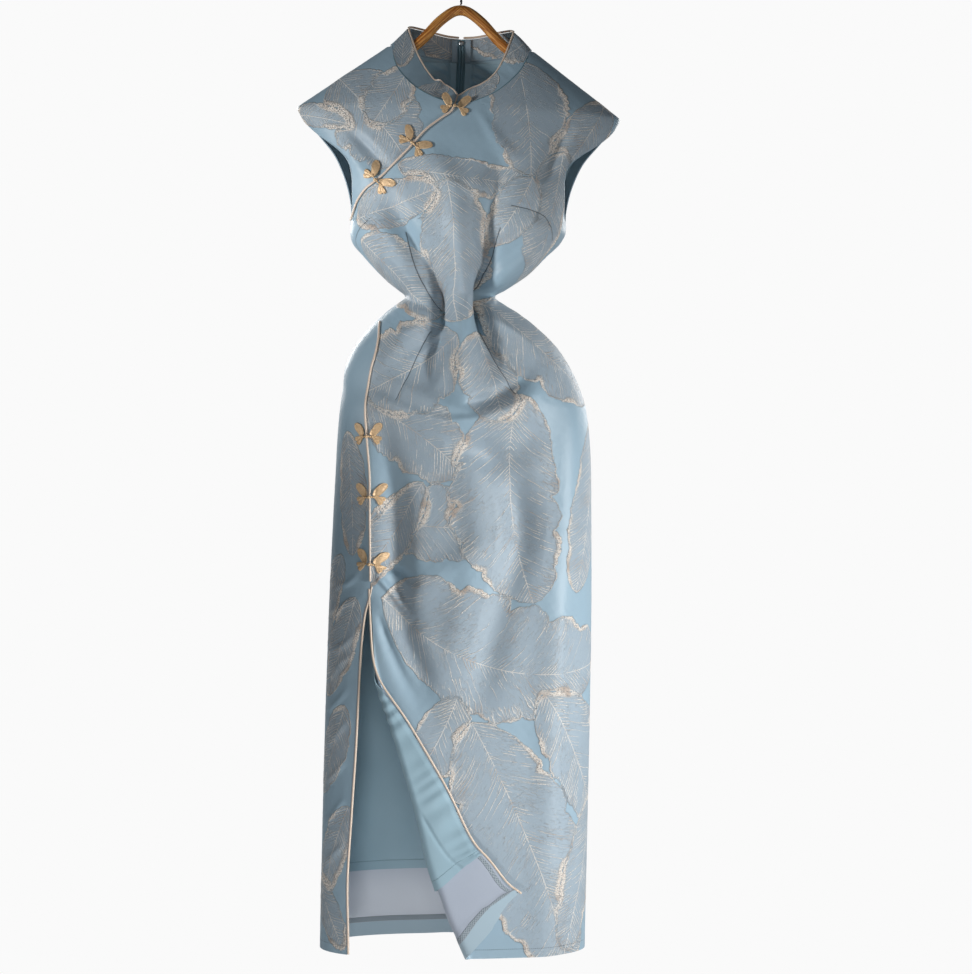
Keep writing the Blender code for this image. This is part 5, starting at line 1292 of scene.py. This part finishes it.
def layPanel(name, node, shape, u, h, pattern, flat, area, left=None):
    # the cloth as a closed thin shell: right side outside, wrong side inside; left is the
    # edge whose overlocked strip shows on the wrong side
    s = u * 2 * quarter(h)
    t = s  # the pattern's own distance round; on the backs it is measured from the zip
    if "back" in pattern:
        t = s + np.sign(s) * (leaves["zipAt"] - 2 * quarter(h))
    fields = leafFields(leaves[pattern], t, h)
    fields.update(dartFields(darts.get(pattern, ()), t, h))
    bump = relief(fields, t, h).reshape(u.shape)
    sewn = np.exp(-(fields["dartSide"] / panels["dartWidth"]) ** 2) * fields["dartShown"]
    bump -= panels["dartDepth"] * sewn.reshape(u.shape)
    outOf = facing(shape, u, h)
    outer = shape(u, h) + outOf * bump[..., None]
    thick = garment["cloth"] + panels["hemTurn"] * smooth(0.0260, 0.0235, h) - 0.0002
    inner = (outer - outOf * thick[..., None])[::2, ::2]
    if left is not None:
        fields["edgeRun"] = (np.abs(u - left[:, None]) * 2 * quarter(h)
                             + 0.05 * smooth(0.40, 0.42, h)).ravel()
    values = {key: spread(value.reshape(u.shape)) for key, value in fields.items()}
    faces, slots = wallFaces(*u.shape)
    laySheet(name, node, outer, inner, faces, (jacquard, wrongSide),
             spread(np.stack([s, h], axis=-1)), area, slots, values)


upperRows = [np.linspace(*row) for row in panels["upper"]]
frontHeights = np.concatenate([np.linspace(*panels["front"]), *upperRows])
u, h = frontGrid(frontHeights, 40, 12, 100)
layPanel("front", "front_panel", folded, u, h, "front", (0.44, 1.16), 0.372,
         frontLeft(frontHeights))

yokeHeights = np.concatenate([np.linspace(*panels["yoke"]), *upperRows])
leftHole = np.maximum(armholeU("armholeFront", yokeHeights, -1),
                      -0.5 + nudge(yokeHeights, halfSeam))
overlap = np.where(yokeHeights < garment["overlapTop"], edgeU("diagonal", yokeHeights, -halfSeam),
                   edgeU("neckLeft", yokeHeights, -halfSeam))
overlap = np.maximum(overlap, leftHole + nudge(yokeHeights, panels["underlap"]))
u, h = gridOf(yokeHeights, leftHole, overlap, 60)
layPanel("shoulder", "front_shoulder", surface, u, h, "shoulder", (0.20, 0.24), 0.0225)


def backGrids(heights, right, left):  # the grids of the two backs, right first
    edge = backEdgeLeft(heights)
    neck = edgeU("neckBack", heights, halfSeam, False)
    centre = 1.0 - nudge(heights, panels["zipGap"])
    inner = np.where(heights < garment["neckFoot"], centre, np.minimum(neck, centre))
    side = np.where(heights < garment["armPit"], 0.5, np.maximum(-edge, 0.5))
    side = side + nudge(heights, halfSeam)
    return gridOf(heights, side, inner, right), gridOf(heights, -inner, edge, left)


backHeights = np.concatenate([np.linspace(*panels["back"]), panels["backNeck"]])
rightBack, leftBack = backGrids(backHeights, 80, 92)
layPanel("back_right", "back_right", wrapped, *rightBack, "backRight", (0.25, 1.16), 0.235)
layPanel("back_left", "back_left", wrapped, *leftBack, "backLeft", (0.31, 1.16), 0.291,
         backEdgeLeft(backHeights))
print("panels laid")

# seams and edges that a cord follows
slack = garment["piping"] + 1.5 * garment["seam"]  # from an edge to its cord's middle


def onSeam(table, heights):  # a cord's path over a seam, and the way out
    u = uAt(monotone(garment[table], 1, heights), heights)
    outOf = facing(surface, u, heights)
    return surface(u, heights) + outOf * (garment["piping"] + garment["seam"]), outOf


def slitEdge(table, heights, shape, gap):  # a cord's path beside an edge of the slit
    u = edgeU(table, heights, halfSeam if gap < 0 else -halfSeam) + nudge(heights, gap)
    outOf = facing(shape, u, heights)
    return shape(u, heights) - outOf * garment["cloth"] / 2, outOf


# collar
collar = {
    # stations from the centre front round to the centre back:
    # base height, base x right, base x left, top x, top y, top height, share of the full rise
    "stations": metres(
        (1059.7, -5.5, -6.5, 1, -30, 1082.5, 0.4), (1061, 12, -18, 11, -29.5, 1083.2, 0.86),
        (1066, 25, -33, 20.5, -28.5, 1085.5, 1), (1075.5, 43, -51, 32.5, -26.5, 1092.5, 1),
        (1092, 62.2, -70, 46, -21.5, 1106.5, 1), (1110, 76.8, -82, 57.5, -14, 1129, 1),
        (1125, 83.8, -86, 64, -6.5, 1147, 1), (1139.5, 88.6, -88.6, 68.5, 1, 1161, 1),
        (1136.6, 77, -77, 61, 12.5, 1164, 1), (1133.5, 60, -60, 47, 19, 1162.5, 1),
        (1130.6, 40, -40, 31, 22.5, 1159, 1), (1128.7, 20, -20, 15.5, 24.5, 1156.5, 1),
        (1128, 0.3, -0.3, 0.3, 25, 1155.5, 1), lengths=6),
    "shoulder": 7, "count": 145, "rows": 12,
    "clear": 0.0012,           # gap between the neck edge and the stand's foot
    "wave": 0.0007,            # unevenness of the stiffened stand
    # waves of the top edge at the left front: station, width, height
    "bumps": ((2.50, 0.30, 0.0024), (3.15, 0.34, -0.0022), (4.30, 0.45, 0.0010)),
    "seamRadius": 0.0013,
}


def collarGrid(side, count, rows):  # straight lines from the neck seam to the top edge
    stations = collar["stations"]
    at = np.linspace(0, len(stations) - 1, count)
    index = [(k, *row) for k, row in enumerate(stations)]
    baseH = monotone(index, 1, at)
    baseX = monotone(index, 2 if side > 0 else 3, at)
    u = np.where(at <= collar["shoulder"], uAt(baseX, baseH), uAt(baseX, baseH, False))
    u = np.where(np.abs(at - collar["shoulder"]) < 1e-6, side * 0.5, u)
    base = surface(u, baseH)
    seat = facing(surface, u, baseH)
    rim = np.stack([side * monotone(index, 4, at), monotone(index, 5, at),
                    monotone(index, 6, at) - garment["hookHeight"]], axis=1)
    rim[:, 2] -= garment["bodiceTilt"] * rim[:, 0]
    if side < 0:
        for place, wide, high in collar["bumps"]:
            bump = np.exp(-((at - place) / wide) ** 2)
            rim[:, 2] += high * bump
            rim[:, 1] -= 0.6 * abs(high) * bump
    up = unit(rim - base)
    base = base + up * collar["clear"]
    rim = base + (rim - base) * monotone(index, 7, at)[:, None]
    shares = np.linspace(0, 1, rows + 1)[:, None, None]
    outer = base[None] * (1 - shares) + rim[None] * shares
    along = np.gradient(base, axis=0) * side
    outOf = unit(np.cross(along, up))
    normals = np.repeat(outOf[None], rows + 1, axis=0)
    lean = seat - outOf * (seat * outOf).sum(1, keepdims=True)
    normals[0] = outOf + lean * 0.6
    return outer, normals, up


def layCollar(side):  # one half of the stand with its piping and its neck seam
    word = "right" if side > 0 else "left"
    outer, normals, up = collarGrid(side, collar["count"], collar["rows"])
    run = np.concatenate([[0], np.cumsum(np.linalg.norm(np.diff(outer[0], axis=0), axis=1))])
    rise = np.linalg.norm(outer - outer[:1], axis=-1)
    soft = np.sin(math.pi * np.linspace(0, 1, collar["rows"] + 1))[:, None]
    wave = ragged(4.0 + side, run * 9)[None] * collar["wave"] * soft
    s = np.repeat(run[None], len(outer), 0)
    fields = leafFields(leaves["collarRight" if side > 0 else "collarLeft"], s, rise)
    wave = wave + relief(fields, s, rise).reshape(wave.shape) * 0.7
    face = outer + normals * wave[..., None]
    back = face - normals * garment["collarWall"]
    middle = outer[-1] - normals[-1] * garment["collarWall"] / 2
    away = unit(np.cross(normals[-1], np.gradient(outer[-1], axis=0)))
    away *= np.sign((away * up).sum(1, keepdims=True))
    path = middle + away * slack
    fields["dartSide"] = np.full(s.size, 0.05)
    if side < 0:
        flip = slice(None), slice(None, None, -1)
        face, back, s, rise = face[flip], back[flip], s[flip], rise[flip]
        fields = {key: value.reshape(wave.shape)[flip].ravel() for key, value in fields.items()}
    laySheet(f"collar_{word}", f"collar_{word}", face, back, ribbonFaces(*s.shape).tolist(),
             (jacquard,),
             np.tile(np.stack([s, rise + 0.2], axis=-1).reshape(-1, 2), (2, 1)),
             0.0075, None,
             {key: np.tile(value, 2) for key, value in fields.items()})
    first = 0 if side > 0 else 3
    path, lift = path[first:-3], normals[-1][first:-3]
    if side > 0:  # this one runs on down to the top of the diagonal piping
        end = onSeam("diagonal", np.array([1.0545]))[0]
        half = (path[:1] + end) / 2 - lift[:1] * 0.0004
        path, lift = np.vstack([end, half, path]), np.vstack([lift[:1], lift[:1], lift])
    layCord(f"collar_piping_{word}", path, lift, 150, garment["piping"],
            f"collar_piping_{word}", pipingSatin, "piping")
    seat = outer[0] - normals[0] * garment["collarWall"] / 2 - up * (2 * garment["seam"])
    layCord(f"neck_seam_{word}", seat, up, 120, collar["seamRadius"], None, tapeCloth, "lining",
            8)


for side in (1, -1):
    layCollar(side)
print("collar laid")

# piping; each cord by its node: its path and the way out of the cloth
binding = {"radius": 0.0012, "foot": 0.9125, "sunk": 0.6}
pipings = {
    "diagonal_piping": onSeam("diagonal", np.linspace(0.9165, 1.0530, 160)),
    "side_piping": onSeam("leftSeam", np.linspace(0.788, 0.466, 160)),
    "slit_piping_front": slitEdge("slitFront", np.linspace(0.0015, 0.455, 220), folded,
                                  -slack - 1.5 * garment["seam"]),
    "slit_piping_back": slitEdge("slitBack", np.linspace(0.0015, 0.458, 160), surface, slack),
}


def calmed(path, reach, times):  # a running mean along the path, its two ends kept
    for _ in range(times):
        ends = np.vstack([np.repeat(path[:1], reach, 0), path, np.repeat(path[-1:], reach, 0)])
        mean = np.cumsum(np.vstack([np.zeros((1, 3)), ends]), axis=0)
        mean = (mean[2 * reach + 1:] - mean[:-2 * reach - 1]) / (2 * reach + 1)
        path = np.vstack([path[:1], mean[1:-1], path[-1:]])
    return path


# the front slit's cord sinks a little at the folded corner and runs on past the hem
path, outOf = (data[8:] for data in pipings["slit_piping_front"])
sunk = outOf * 0.0006 * smooth(0.30, 0.10, np.linspace(0, 1, len(path)))[:, None]
path = calmed(path, 4, 6) - sunk
free = path[:1] + unit(path[:1] - path[6:7]) * np.linspace(0.0085, 0.001, 6)[:, None]
lift = np.vstack([np.repeat(outOf[:1], 6, 0), outOf])
pipings["slit_piping_front"] = np.vstack([free, path]), lift


def layBinding(side, word):  # self satin binding round an armhole, just inside its edge
    parts = []
    for table, front in (("armholeFront", True), ("armholeBack", False)):
        heights = np.linspace(binding["foot"], garment[table][-1][0] - 0.0005, 60)
        u = armholeU(table, heights, side, front)
        u = np.minimum(np.abs(u), 0.5) if front else np.maximum(np.abs(u), 0.5)
        place = surface(side * u, heights)
        lift = facing(surface, side * u, heights)
        parts.append((place - lift * (garment["cloth"] * binding["sunk"]), lift))
    path = np.vstack([parts[0][0], parts[1][0][::-1]])
    lift = np.vstack([parts[0][1], parts[1][1][::-1]])
    layCord(f"armhole_binding_{word}", calmed(path, 2, 3), lift, 200, binding["radius"], None,
            bindingSatin, "jacquard", 8)


layBinding(1, "right")
layBinding(-1, "left")
for node, (path, outOf) in pipings.items():
    layCord(node, path, outOf, 240, garment["piping"], node, pipingSatin, "piping")
print("pipings laid")

# butterfly frogs
frogs = {
    # frog, x, height, turn in degrees
    "places": (
        ("frog_1", -0.0070, 1.0530, -6.0), ("frog_2", -0.0590, 1.0035, -43.0),
        ("frog_3", -0.1035, 0.9590, -52.0), ("frog_4", -0.1150, 0.6440, 0.0),
        ("frog_5", -0.1120, 0.5690, 0.0), ("frog_6", -0.1117, 0.4860, -8.0),
    ),
    "lift": 0.0035, "seat": 0.0004, "clear": 0.0004,
    "plate": 0.0011, "dome": 0.0006, "rim": 0.0004,
    # petal: root out, root up, tip out, tip up, half width, added width, 0 oval or 1 fan
    "petals": ((0.0058, 0.0012, 0.0190, 0.0166, 0.0051, 0.0, 0.0),
               (0.0056, 0.0006, 0.0150, -0.0054, 0.0056, 0.0, 1.0)),
    "beads": ((0.0042, 0.0000, 0.0013), (0.0059, 0.0004, 0.0015), (0.0077, 0.0009, 0.0015),
              (0.0092, 0.0016, 0.0011), (0.0094, -0.0008, 0.0011)),
    "studs": ((0.0178, 0.0152, 0.0007), (0.0165, -0.0028, 0.0007), (0.0128, -0.0074, 0.0007)),
}


def frogPlace(out, up, lift, side, centreU, h0, turn):  # local out and up onto the cloth
    cos, sin = math.cos(math.radians(turn)), math.sin(math.radians(turn))
    dx, dh = side * out, up
    u = centreU + (dx * cos - dh * sin) / (2 * float(quarter(h0)))
    height = h0 + dx * sin + dh * cos
    return surface(u, height) + facing(surface, u, height) * lift[..., None]


def petal(row, seed):
    # an oval wing, half width sin^0.7 leaning to the tip, or a fan that widens to a round end;
    # a low dome with a thin raised rim and faint hammered dents
    rootOut, rootUp, tipOut, tipUp, half, root, fan = row
    t, w = np.meshgrid(np.linspace(0, 1, 23), np.linspace(-1, 1, 17), indexing="ij")
    long = math.hypot(tipOut - rootOut, tipUp - rootUp)
    dx, dy = (tipOut - rootOut) / long, (tipUp - rootUp) / long
    oval = half * np.sqrt(np.clip(1 - ((t - 0.58) / np.where(t < 0.58, 0.70, 0.422)) ** 2, 0, 1))
    wide = oval * (1 - fan) + half * (0.26 + 0.74 * smooth(0.0, 0.90, t)) * fan + root
    wide = np.maximum(wide * (1 + 0.03 * np.sin(11 * t + seed)), 0.0002)
    notch = np.exp(-((w - 0.05) / 0.20) ** 2) * smooth(0.6, 1.0, t)
    reach = t + fan * (0.16 * (1 - w ** 2) * t - 0.16 * notch)
    bow = 0.05 * long * np.sin(math.pi * t) * (1 - fan)
    out = rootOut + dx * reach * long - dy * (w * wide + bow)
    up = rootUp + dy * reach * long + dx * (w * wide + bow)
    edge = np.maximum(np.abs(w), np.abs(2 * t - 1) ** 3)
    arch = np.sin(math.pi * np.clip(t, 0.03, 0.97)) ** 0.5
    high = (frogs["dome"] * (1 - np.abs(w) ** 2.6) * arch
            + frogs["rim"] * np.exp(-((edge - 0.84) / 0.08) ** 2)
            + 0.00010 * np.sin(13 * t + seed) * np.sin(5 * w + 2 * seed)
            - fan * 0.0004 * np.exp(-(w / 0.16) ** 2) * smooth(0.2, 0.5, t))
    return out, up, high


def layFrog(name, x0, h0, turn):  # petals, beads and, on the right, the knot over the piping
    centreU = float(uAt(x0, h0))
    for side, half in ((-1, "left"), (1, "right")):
        parts = []
        for k, row in enumerate(frogs["petals"]):
            out, up, high = petal(row, k * 2.0 + h0 * 40)
            base = frogs["lift"] + (frogs["seat"] - frogs["lift"]) * smooth(0.0028, 0.0066, out)
            base = base + frogs["clear"]
            top = frogPlace(out, up, base + frogs["plate"] * 0.6 + high, side, centreU, h0, turn)
            low = frogPlace(out, up, base, side, centreU, h0, turn)
            if side < 0:
                top, low = top[:, ::-1], low[:, ::-1]
            # the grid runs along, then across: turned so that its faces look outwards
            top, low = top.transpose(1, 0, 2)[::-1], low.transpose(1, 0, 2)[::-1]
            parts.append((np.concatenate([top.reshape(-1, 3), low.reshape(-1, 3)]),
                          ribbonFaces(*top.shape[:2]).tolist()))
        beads = frogs["beads"] + frogs["studs"]
        if side > 0:
            beads += ((0.0, 0.0, 0.0023), (0.0024, 0.0004, 0.0014))
        for out, up, thick in beads:
            raised = 0.0011 if thick < 0.0009 else 0.0
            parts.append(ball(out, up, thick, side, centreU, h0, turn, raised))
        layTrim(f"{name}_{half}", *together(parts), f"{name}_{half}", goldMetal,
                "antique_gold", 38)


def ball(out, up, thick, side, centreU, h0, turn, raised):  # a bead, a little flat
    polar = np.radians(np.linspace(4, 176, 8))
    out, up = np.array([out]), np.array([up])
    seat = frogs["lift"] * float(smooth(0.0066, 0.0028, abs(out[0]))) + frogs["seat"] + raised
    foot = frogPlace(out, up, np.array([seat]), side, centreU, h0, turn)[0]
    top = frogPlace(out, up, np.array([seat + 0.01]), side, centreU, h0, turn)[0]
    axis = unit(top - foot)
    aside = unit(np.cross(axis, (0.1, 0.0, 1.0)))
    path = foot + axis * (thick * 0.80 * (1 + np.cos(polar[::-1])))[:, None]
    count = len(path)
    return barrel(path, np.repeat(aside[None], count, 0),
                  np.repeat(np.cross(axis, aside)[None], count, 0), thick * np.sin(polar), 10)


for row in frogs["places"]:
    layFrog(*row)
print("frogs laid")

# linings
linings = {
    "skirt": garment["cloth"] + garment["seam"] + 0.0002,    # how far inside the panels
    "bodice": garment["cloth"] + 5 * garment["seam"],
    "bodiceRows": (0.930, 1.1262, 80), "armGap": 0.014, "zipGap": 0.0056,
}


def layLining(name, node, shape, u, h, start, area, ripple):
    # a lining hung a little inside its panel, sunk further by the ripple
    s = u * 2 * quarter(h)
    outOf = facing(shape, u, h)
    near = shape(u, h) - outOf * start
    sink = ripple(s, h)[..., None]
    outer, inner = near - outOf * sink, near - outOf * (sink + garment["lining"])
    uv = np.tile(np.stack([s, h], axis=-1).reshape(-1, 2), (2, 1))
    laySheet(name, node, outer, inner, ribbonFaces(*u.shape).tolist(), (lining,), uv,
             area)


def skirtRipple(s, h):  # uneven soft gathers, deeper towards the slit and the hem
    run = s * 55 + 2.2 * np.sin(h * 13)
    return 0.0004 + 0.0007 * (1 + np.sin(run + 1.3 * np.sin(h * 37))) * smooth(0.50, 0.30, h)


def flapRipple(s, h):  # puckers square to the piping beside the slit edge
    beside = s - frontLeft(h[:, 0])[:, None] * 2 * quarter(h)
    pucker = np.sin(h * 330 + 2.5 * np.sin(h * 61)) * (0.6 + 0.4 * np.sin(h * 47))
    tuck = np.exp(-((beside - 0.030 - 0.10 * (h - 0.085)) / 0.0022) ** 2) * smooth(0.21, 0.15, h)
    return (0.0022 + 0.0011 * pucker * smooth(0.046, 0.006, beside)
            + 0.0005 * np.sin(s * 120 + h * 60) - 0.0014 * tuck
            - 0.0012 * smooth(0.006, 0.0, beside))


heights = np.linspace(garment["liningHem"], garment["liningTop"], 141)
u, h = frontGrid(heights, 34, 10, 40)
layLining("lining_front", "lining_front", folded, u, h, linings["skirt"], 0.130,
          flapRipple)
heights = np.linspace(garment["liningHem"], garment["liningTop"], 121)
(right, h), (left, leftH) = backGrids(heights, 40, 48)
layLining("lining_back", "lining_back", wrapped, np.hstack([right, left[:, 1:-1] + 2]),
          np.hstack([h, leftH[:, 1:-1]]), linings["skirt"], 0.190, skirtRipple)


def gatherDepth(h):  # how far in the back's gathers reach, with a little room
    return 1.2 * backGathers["depth"] * linear(backGathers["rows"], 2, h)


def overTape(s, h):  # gathers below the neck; beside the zip the lining lies on its tape
    beside = np.abs(s - 2 * quarter(h))
    on = smooth(0.0175, 0.0128, beside)
    puckers = np.sin(s * 190 + 2 * np.sin(h * 50)) * smooth(0.95, 1.10, h)
    tape = 0.0027 + gatherDepth(h) + 0.0003 * np.sin(h * 160)
    return (0.0008 + 0.0008 * puckers) * (1 - on) + on * tape


heights = np.linspace(*linings["bodiceRows"])
edge = armholeU("armholeBack", heights, 1, False) + nudge(heights, linings["armGap"])
zipEdge = 1.0 - nudge(heights, linings["zipGap"])
for name, left, right in (("lining_bodice", edge, zipEdge),
                          ("lining_bodice_left", 2.0 - zipEdge, 2.0 - edge)):
    u, h = gridOf(heights, left, right, 70)
    layLining(name, "lining_bodice", wrapped, u, h, linings["bodice"], 0.035,
              overTape)
print("linings laid")

# zip
zipper = {
    # distance aside and radius of the folded tape edge, then of the seam beside it
    "cords": ((0.0019, 0.0016), (0.0046, 0.0007)),
    # top stop: radius with its shares from end to end, length, place up the collar, how far in
    "stopRadius": 0.0034, "stopShape": (0.3, 0.8, 1, 1, 1, 1, 1, 0.8, 0.3),
    "stopLong": 0.0062, "stopAt": 0.66, "stopIn": 0.0028,
}


def layZipFolds():  # the two folded tape edges that hide the closed coil, and a seam beside each
    heights = np.linspace(0.960, 1.1235, 120)
    depth = (garment["cloth"] + 2 * garment["lining"] + 6 * garment["seam"]
             + gatherDepth(heights))
    centre, half, _, back, power = section(heights)
    for side, word in ((1, "right"), (-1, "left")):
        parts = []
        for aside, thick in zipper["cords"]:
            wave = 0.00035 * np.sin(heights * 95 + side)
            x = side * (aside + wave + 0.002 * smooth(1.09, 1.00, heights)) + centre
            y = back * (1 - (np.abs(x - centre) / half) ** power) ** (1 / power) - depth
            path = np.stack([x, y - thick * 0.3, heights - garment["hookHeight"]
                             - tilt(heights) * x], axis=1)
            rows = [collarFoot + (collarTop - collarFoot) * share for share in (0.25, 0.60)]
            neck = np.array([(side * aside, row[1] - garment["collarWall"] - 2 * garment["seam"]
                              - garment["lining"] - thick * 0.3, row[2]) for row in rows])
            path = even(smoothed(np.vstack([path[::8], path[-1:], neck])), 140)
            parts.append(cordAlong(path, np.tile((0.0, -1.0, 0.0), (140, 1)), thick, 8))
        layTrim(f"zip_fold_{word}", *together(parts), None, tapeCloth, "zip_tape")


collarFoot, collarTop = collarGrid(1, 49, 2)[0][[0, -1], -1]
layZipFolds()
stopCount = len(zipper["stopShape"])
stopPath = (collarFoot + (collarTop - collarFoot) * zipper["stopAt"]
            + np.linspace(0.0, zipper["stopLong"], stopCount)[:, None]
            * unit(collarTop - collarFoot))
stopPath[:, 0] = 0.0
stopPath[:, 1] = stopPath[:, 1] - garment["collarWall"] - zipper["stopIn"]
points, faces = barrel(stopPath, np.tile((1.0, 0.0, 0.0), (stopCount, 1)),
                       np.tile((0.0, 1.0, 0.0), (stopCount, 1)),
                       zipper["stopRadius"] * np.array(zipper["stopShape"]), 14, 0.5)
layTrim("zip_top_stop", points, faces, None, zipMetal, "zip_metal")
for node, made in (("zip_tape", tapeCloth), ("zip_slider", zipMetal), ("zip_pull", zipMetal)):
    bpy.data.objects[node].material_slots[0].material = made

# hanger
hanger = {
    "armRadius": 0.0065, "hookWire": 0.0019, "hookTurn": 0.0200, "apex": 1.1870,
    "neck": ((0.0930, 1.1245), (0.0790, 1.1290), (0.0660, 1.1350), (0.0540, 1.1435),
             (0.0420, 1.1555), (0.0280, 1.1710), (0.0120, 1.1835), (0.0000, 1.1870)),
}


def layHanger():  # the arms lie along the shoulders, and the hook ends at the frame's origin
    heights = np.linspace(1.0705, 1.1150, 9)
    halves = []
    for side in (1, -1):
        u = np.full(len(heights), side * 0.5)
        drop = garment["cloth"] + garment["seam"] + hanger["armRadius"] + 0.0004
        contact = surface(u, heights) - facing(surface, u, heights) * drop
        contact[:, 1] = 0.0
        neck = np.array([(side * x, 0.0, h - garment["hookHeight"]
                          - garment["bodiceTilt"] * side * x) for x, h in hanger["neck"]])
        halves.append(np.vstack([contact, neck]))
    path = even(smoothed(np.vstack([halves[1], halves[0][::-1][1:]])), 90)
    points, faces = cordAlong(path, np.tile((0.0, 1.0, 0.0), (90, 1)), hanger["armRadius"], 20)
    layTrim("hanger_arms", points, faces, "hanger_arms", woodVarnish, "wood")

    foot = hanger["apex"] + hanger["armRadius"] + garment["seam"] - garment["hookHeight"]
    wire, turn = hanger["hookWire"], hanger["hookTurn"]
    angles = np.radians(np.linspace(-62, 210, 60))
    loop = np.stack([turn * np.cos(angles), 0 * angles, wire - turn + turn * np.sin(angles)],
                    axis=1)
    stem = np.array([(0.0, 0.0, foot + wire), (0.0, 0.0, foot + 0.012), (0.0, 0.0, foot + 0.022),
                     (0.0030, 0.0, foot + 0.0300)])
    path = even(smoothed(np.vstack([stem, loop[::6], loop[-1:]])[:-1]), 110)
    points, faces = cordAlong(path, np.tile((0.0, 1.0, 0.0), (110, 1)), wire, 12)
    layTrim("hanger_hook", points, faces, "hanger_hook", hookSteel, "steel")


layHanger()
print("hanger laid")

# floor, light and camera
studio = {
    "background": tone(250, 250, 250), "lightTint": (0.93, 0.97, 1.0), "fill": 0.08,
    "floor": tone(246, 246, 246), "glow": 0.32,
    "floorRadius": 2.3, "floorHeight": -1.9, "floorSides": 96,
    "lampTint": (1.0, 0.985, 0.96),
    # name, place, target, size, power, cone in degrees
    "lamps": (
        ("key light", (-2.15, -1.25, -0.55), (-0.02, 0.0, -0.33), 0.20, 250.0, 15),
        ("side light", (2.0, -1.35, -0.85), (0.0, 0.0, -0.95), 0.30, 235.0, 38),
        ("front light", (0.1, -2.5, -0.75), (0.02, 0.0, -0.84), 0.40, 34.0, 38),
        ("slit light", (-0.3, -1.8, -1.75), (-0.09, 0.0, -1.16), 0.20, 36.0, 20),
        ("back light", (-1.4, 2.4, 0.30), (0.0, 0.2, -1.0), 0.50, 170.0, 100),
        ("far light", (1.7, 2.2, 0.10), (0.0, 0.2, -1.0), 0.50, 120.0, 100),
    ),
    "sensor": 36.0, "lens": 72.76, "camera": (0.03175, -2.5, -0.6883),
}


def layStage():  # a floor disc and a plain world that lights softly and shows as paper
    count = studio["floorSides"]
    turn = np.linspace(0, 2 * math.pi, count, endpoint=False)
    points = np.stack([studio["floorRadius"] * np.cos(turn), studio["floorRadius"] * np.sin(turn),
                       np.full(count, studio["floorHeight"])], axis=1)
    mesh = bpy.data.meshes.new("floor")
    mesh.from_pydata(points.tolist(), [], [list(range(count))])
    made = newMaterial("floor paint", {"Base Color": studio["floor"], "Roughness": 0.8,
                                       "Emission Color": studio["floor"],
                                       "Emission Strength": studio["glow"]})[0]
    mesh.materials.append(made)
    floor = bpy.data.objects.new("floor", mesh)
    bpy.context.scene.collection.objects.link(floor)

    world = bpy.data.worlds.new("studio")
    bpy.context.scene.world = world
    world.use_nodes = True
    tree = world.node_tree
    tree.nodes.clear()
    start = Wire(tree)
    seen = start.node("ShaderNodeLightPath")
    lit = start.node("ShaderNodeBackground", None, {"Color": (*studio["lightTint"], 1.0),
                                                    "Strength": studio["fill"]})
    shown = start.node("ShaderNodeBackground", None, {"Color": (*studio["background"], 1.0)})
    both = start.node("ShaderNodeMixShader", None, {0: seen, 1: lit, 2: shown})
    out = tree.nodes.new("ShaderNodeOutputWorld")
    tree.links.new(both.socket, out.inputs["Surface"])


def layLight(name, place, target, size, power, cone):  # a soft spot that fades to its rim
    data = bpy.data.lights.new(name, "SPOT")
    data.shadow_soft_size, data.energy, data.color = size, power, studio["lampTint"]
    data.spot_size, data.spot_blend = math.radians(cone), 1.0
    lamp = bpy.data.objects.new(name, data)
    lamp.location = place
    lamp.rotation_euler = (Vector(target) - Vector(place)).to_track_quat("-Z", "Y").to_euler()
    bpy.context.scene.collection.objects.link(lamp)


layStage()
for row in studio["lamps"]:
    layLight(*row)

cameraData = bpy.data.cameras.new("camera")
cameraData.sensor_width, cameraData.lens = studio["sensor"], studio["lens"]
camera = bpy.data.objects.new("camera", cameraData)
camera.location = studio["camera"]
camera.rotation_euler = (math.radians(90), 0.0, 0.0)
bpy.context.scene.collection.objects.link(camera)
bpy.context.scene.camera = camera
bpy.context.scene.view_settings.view_transform = "Standard"
print("studio set")
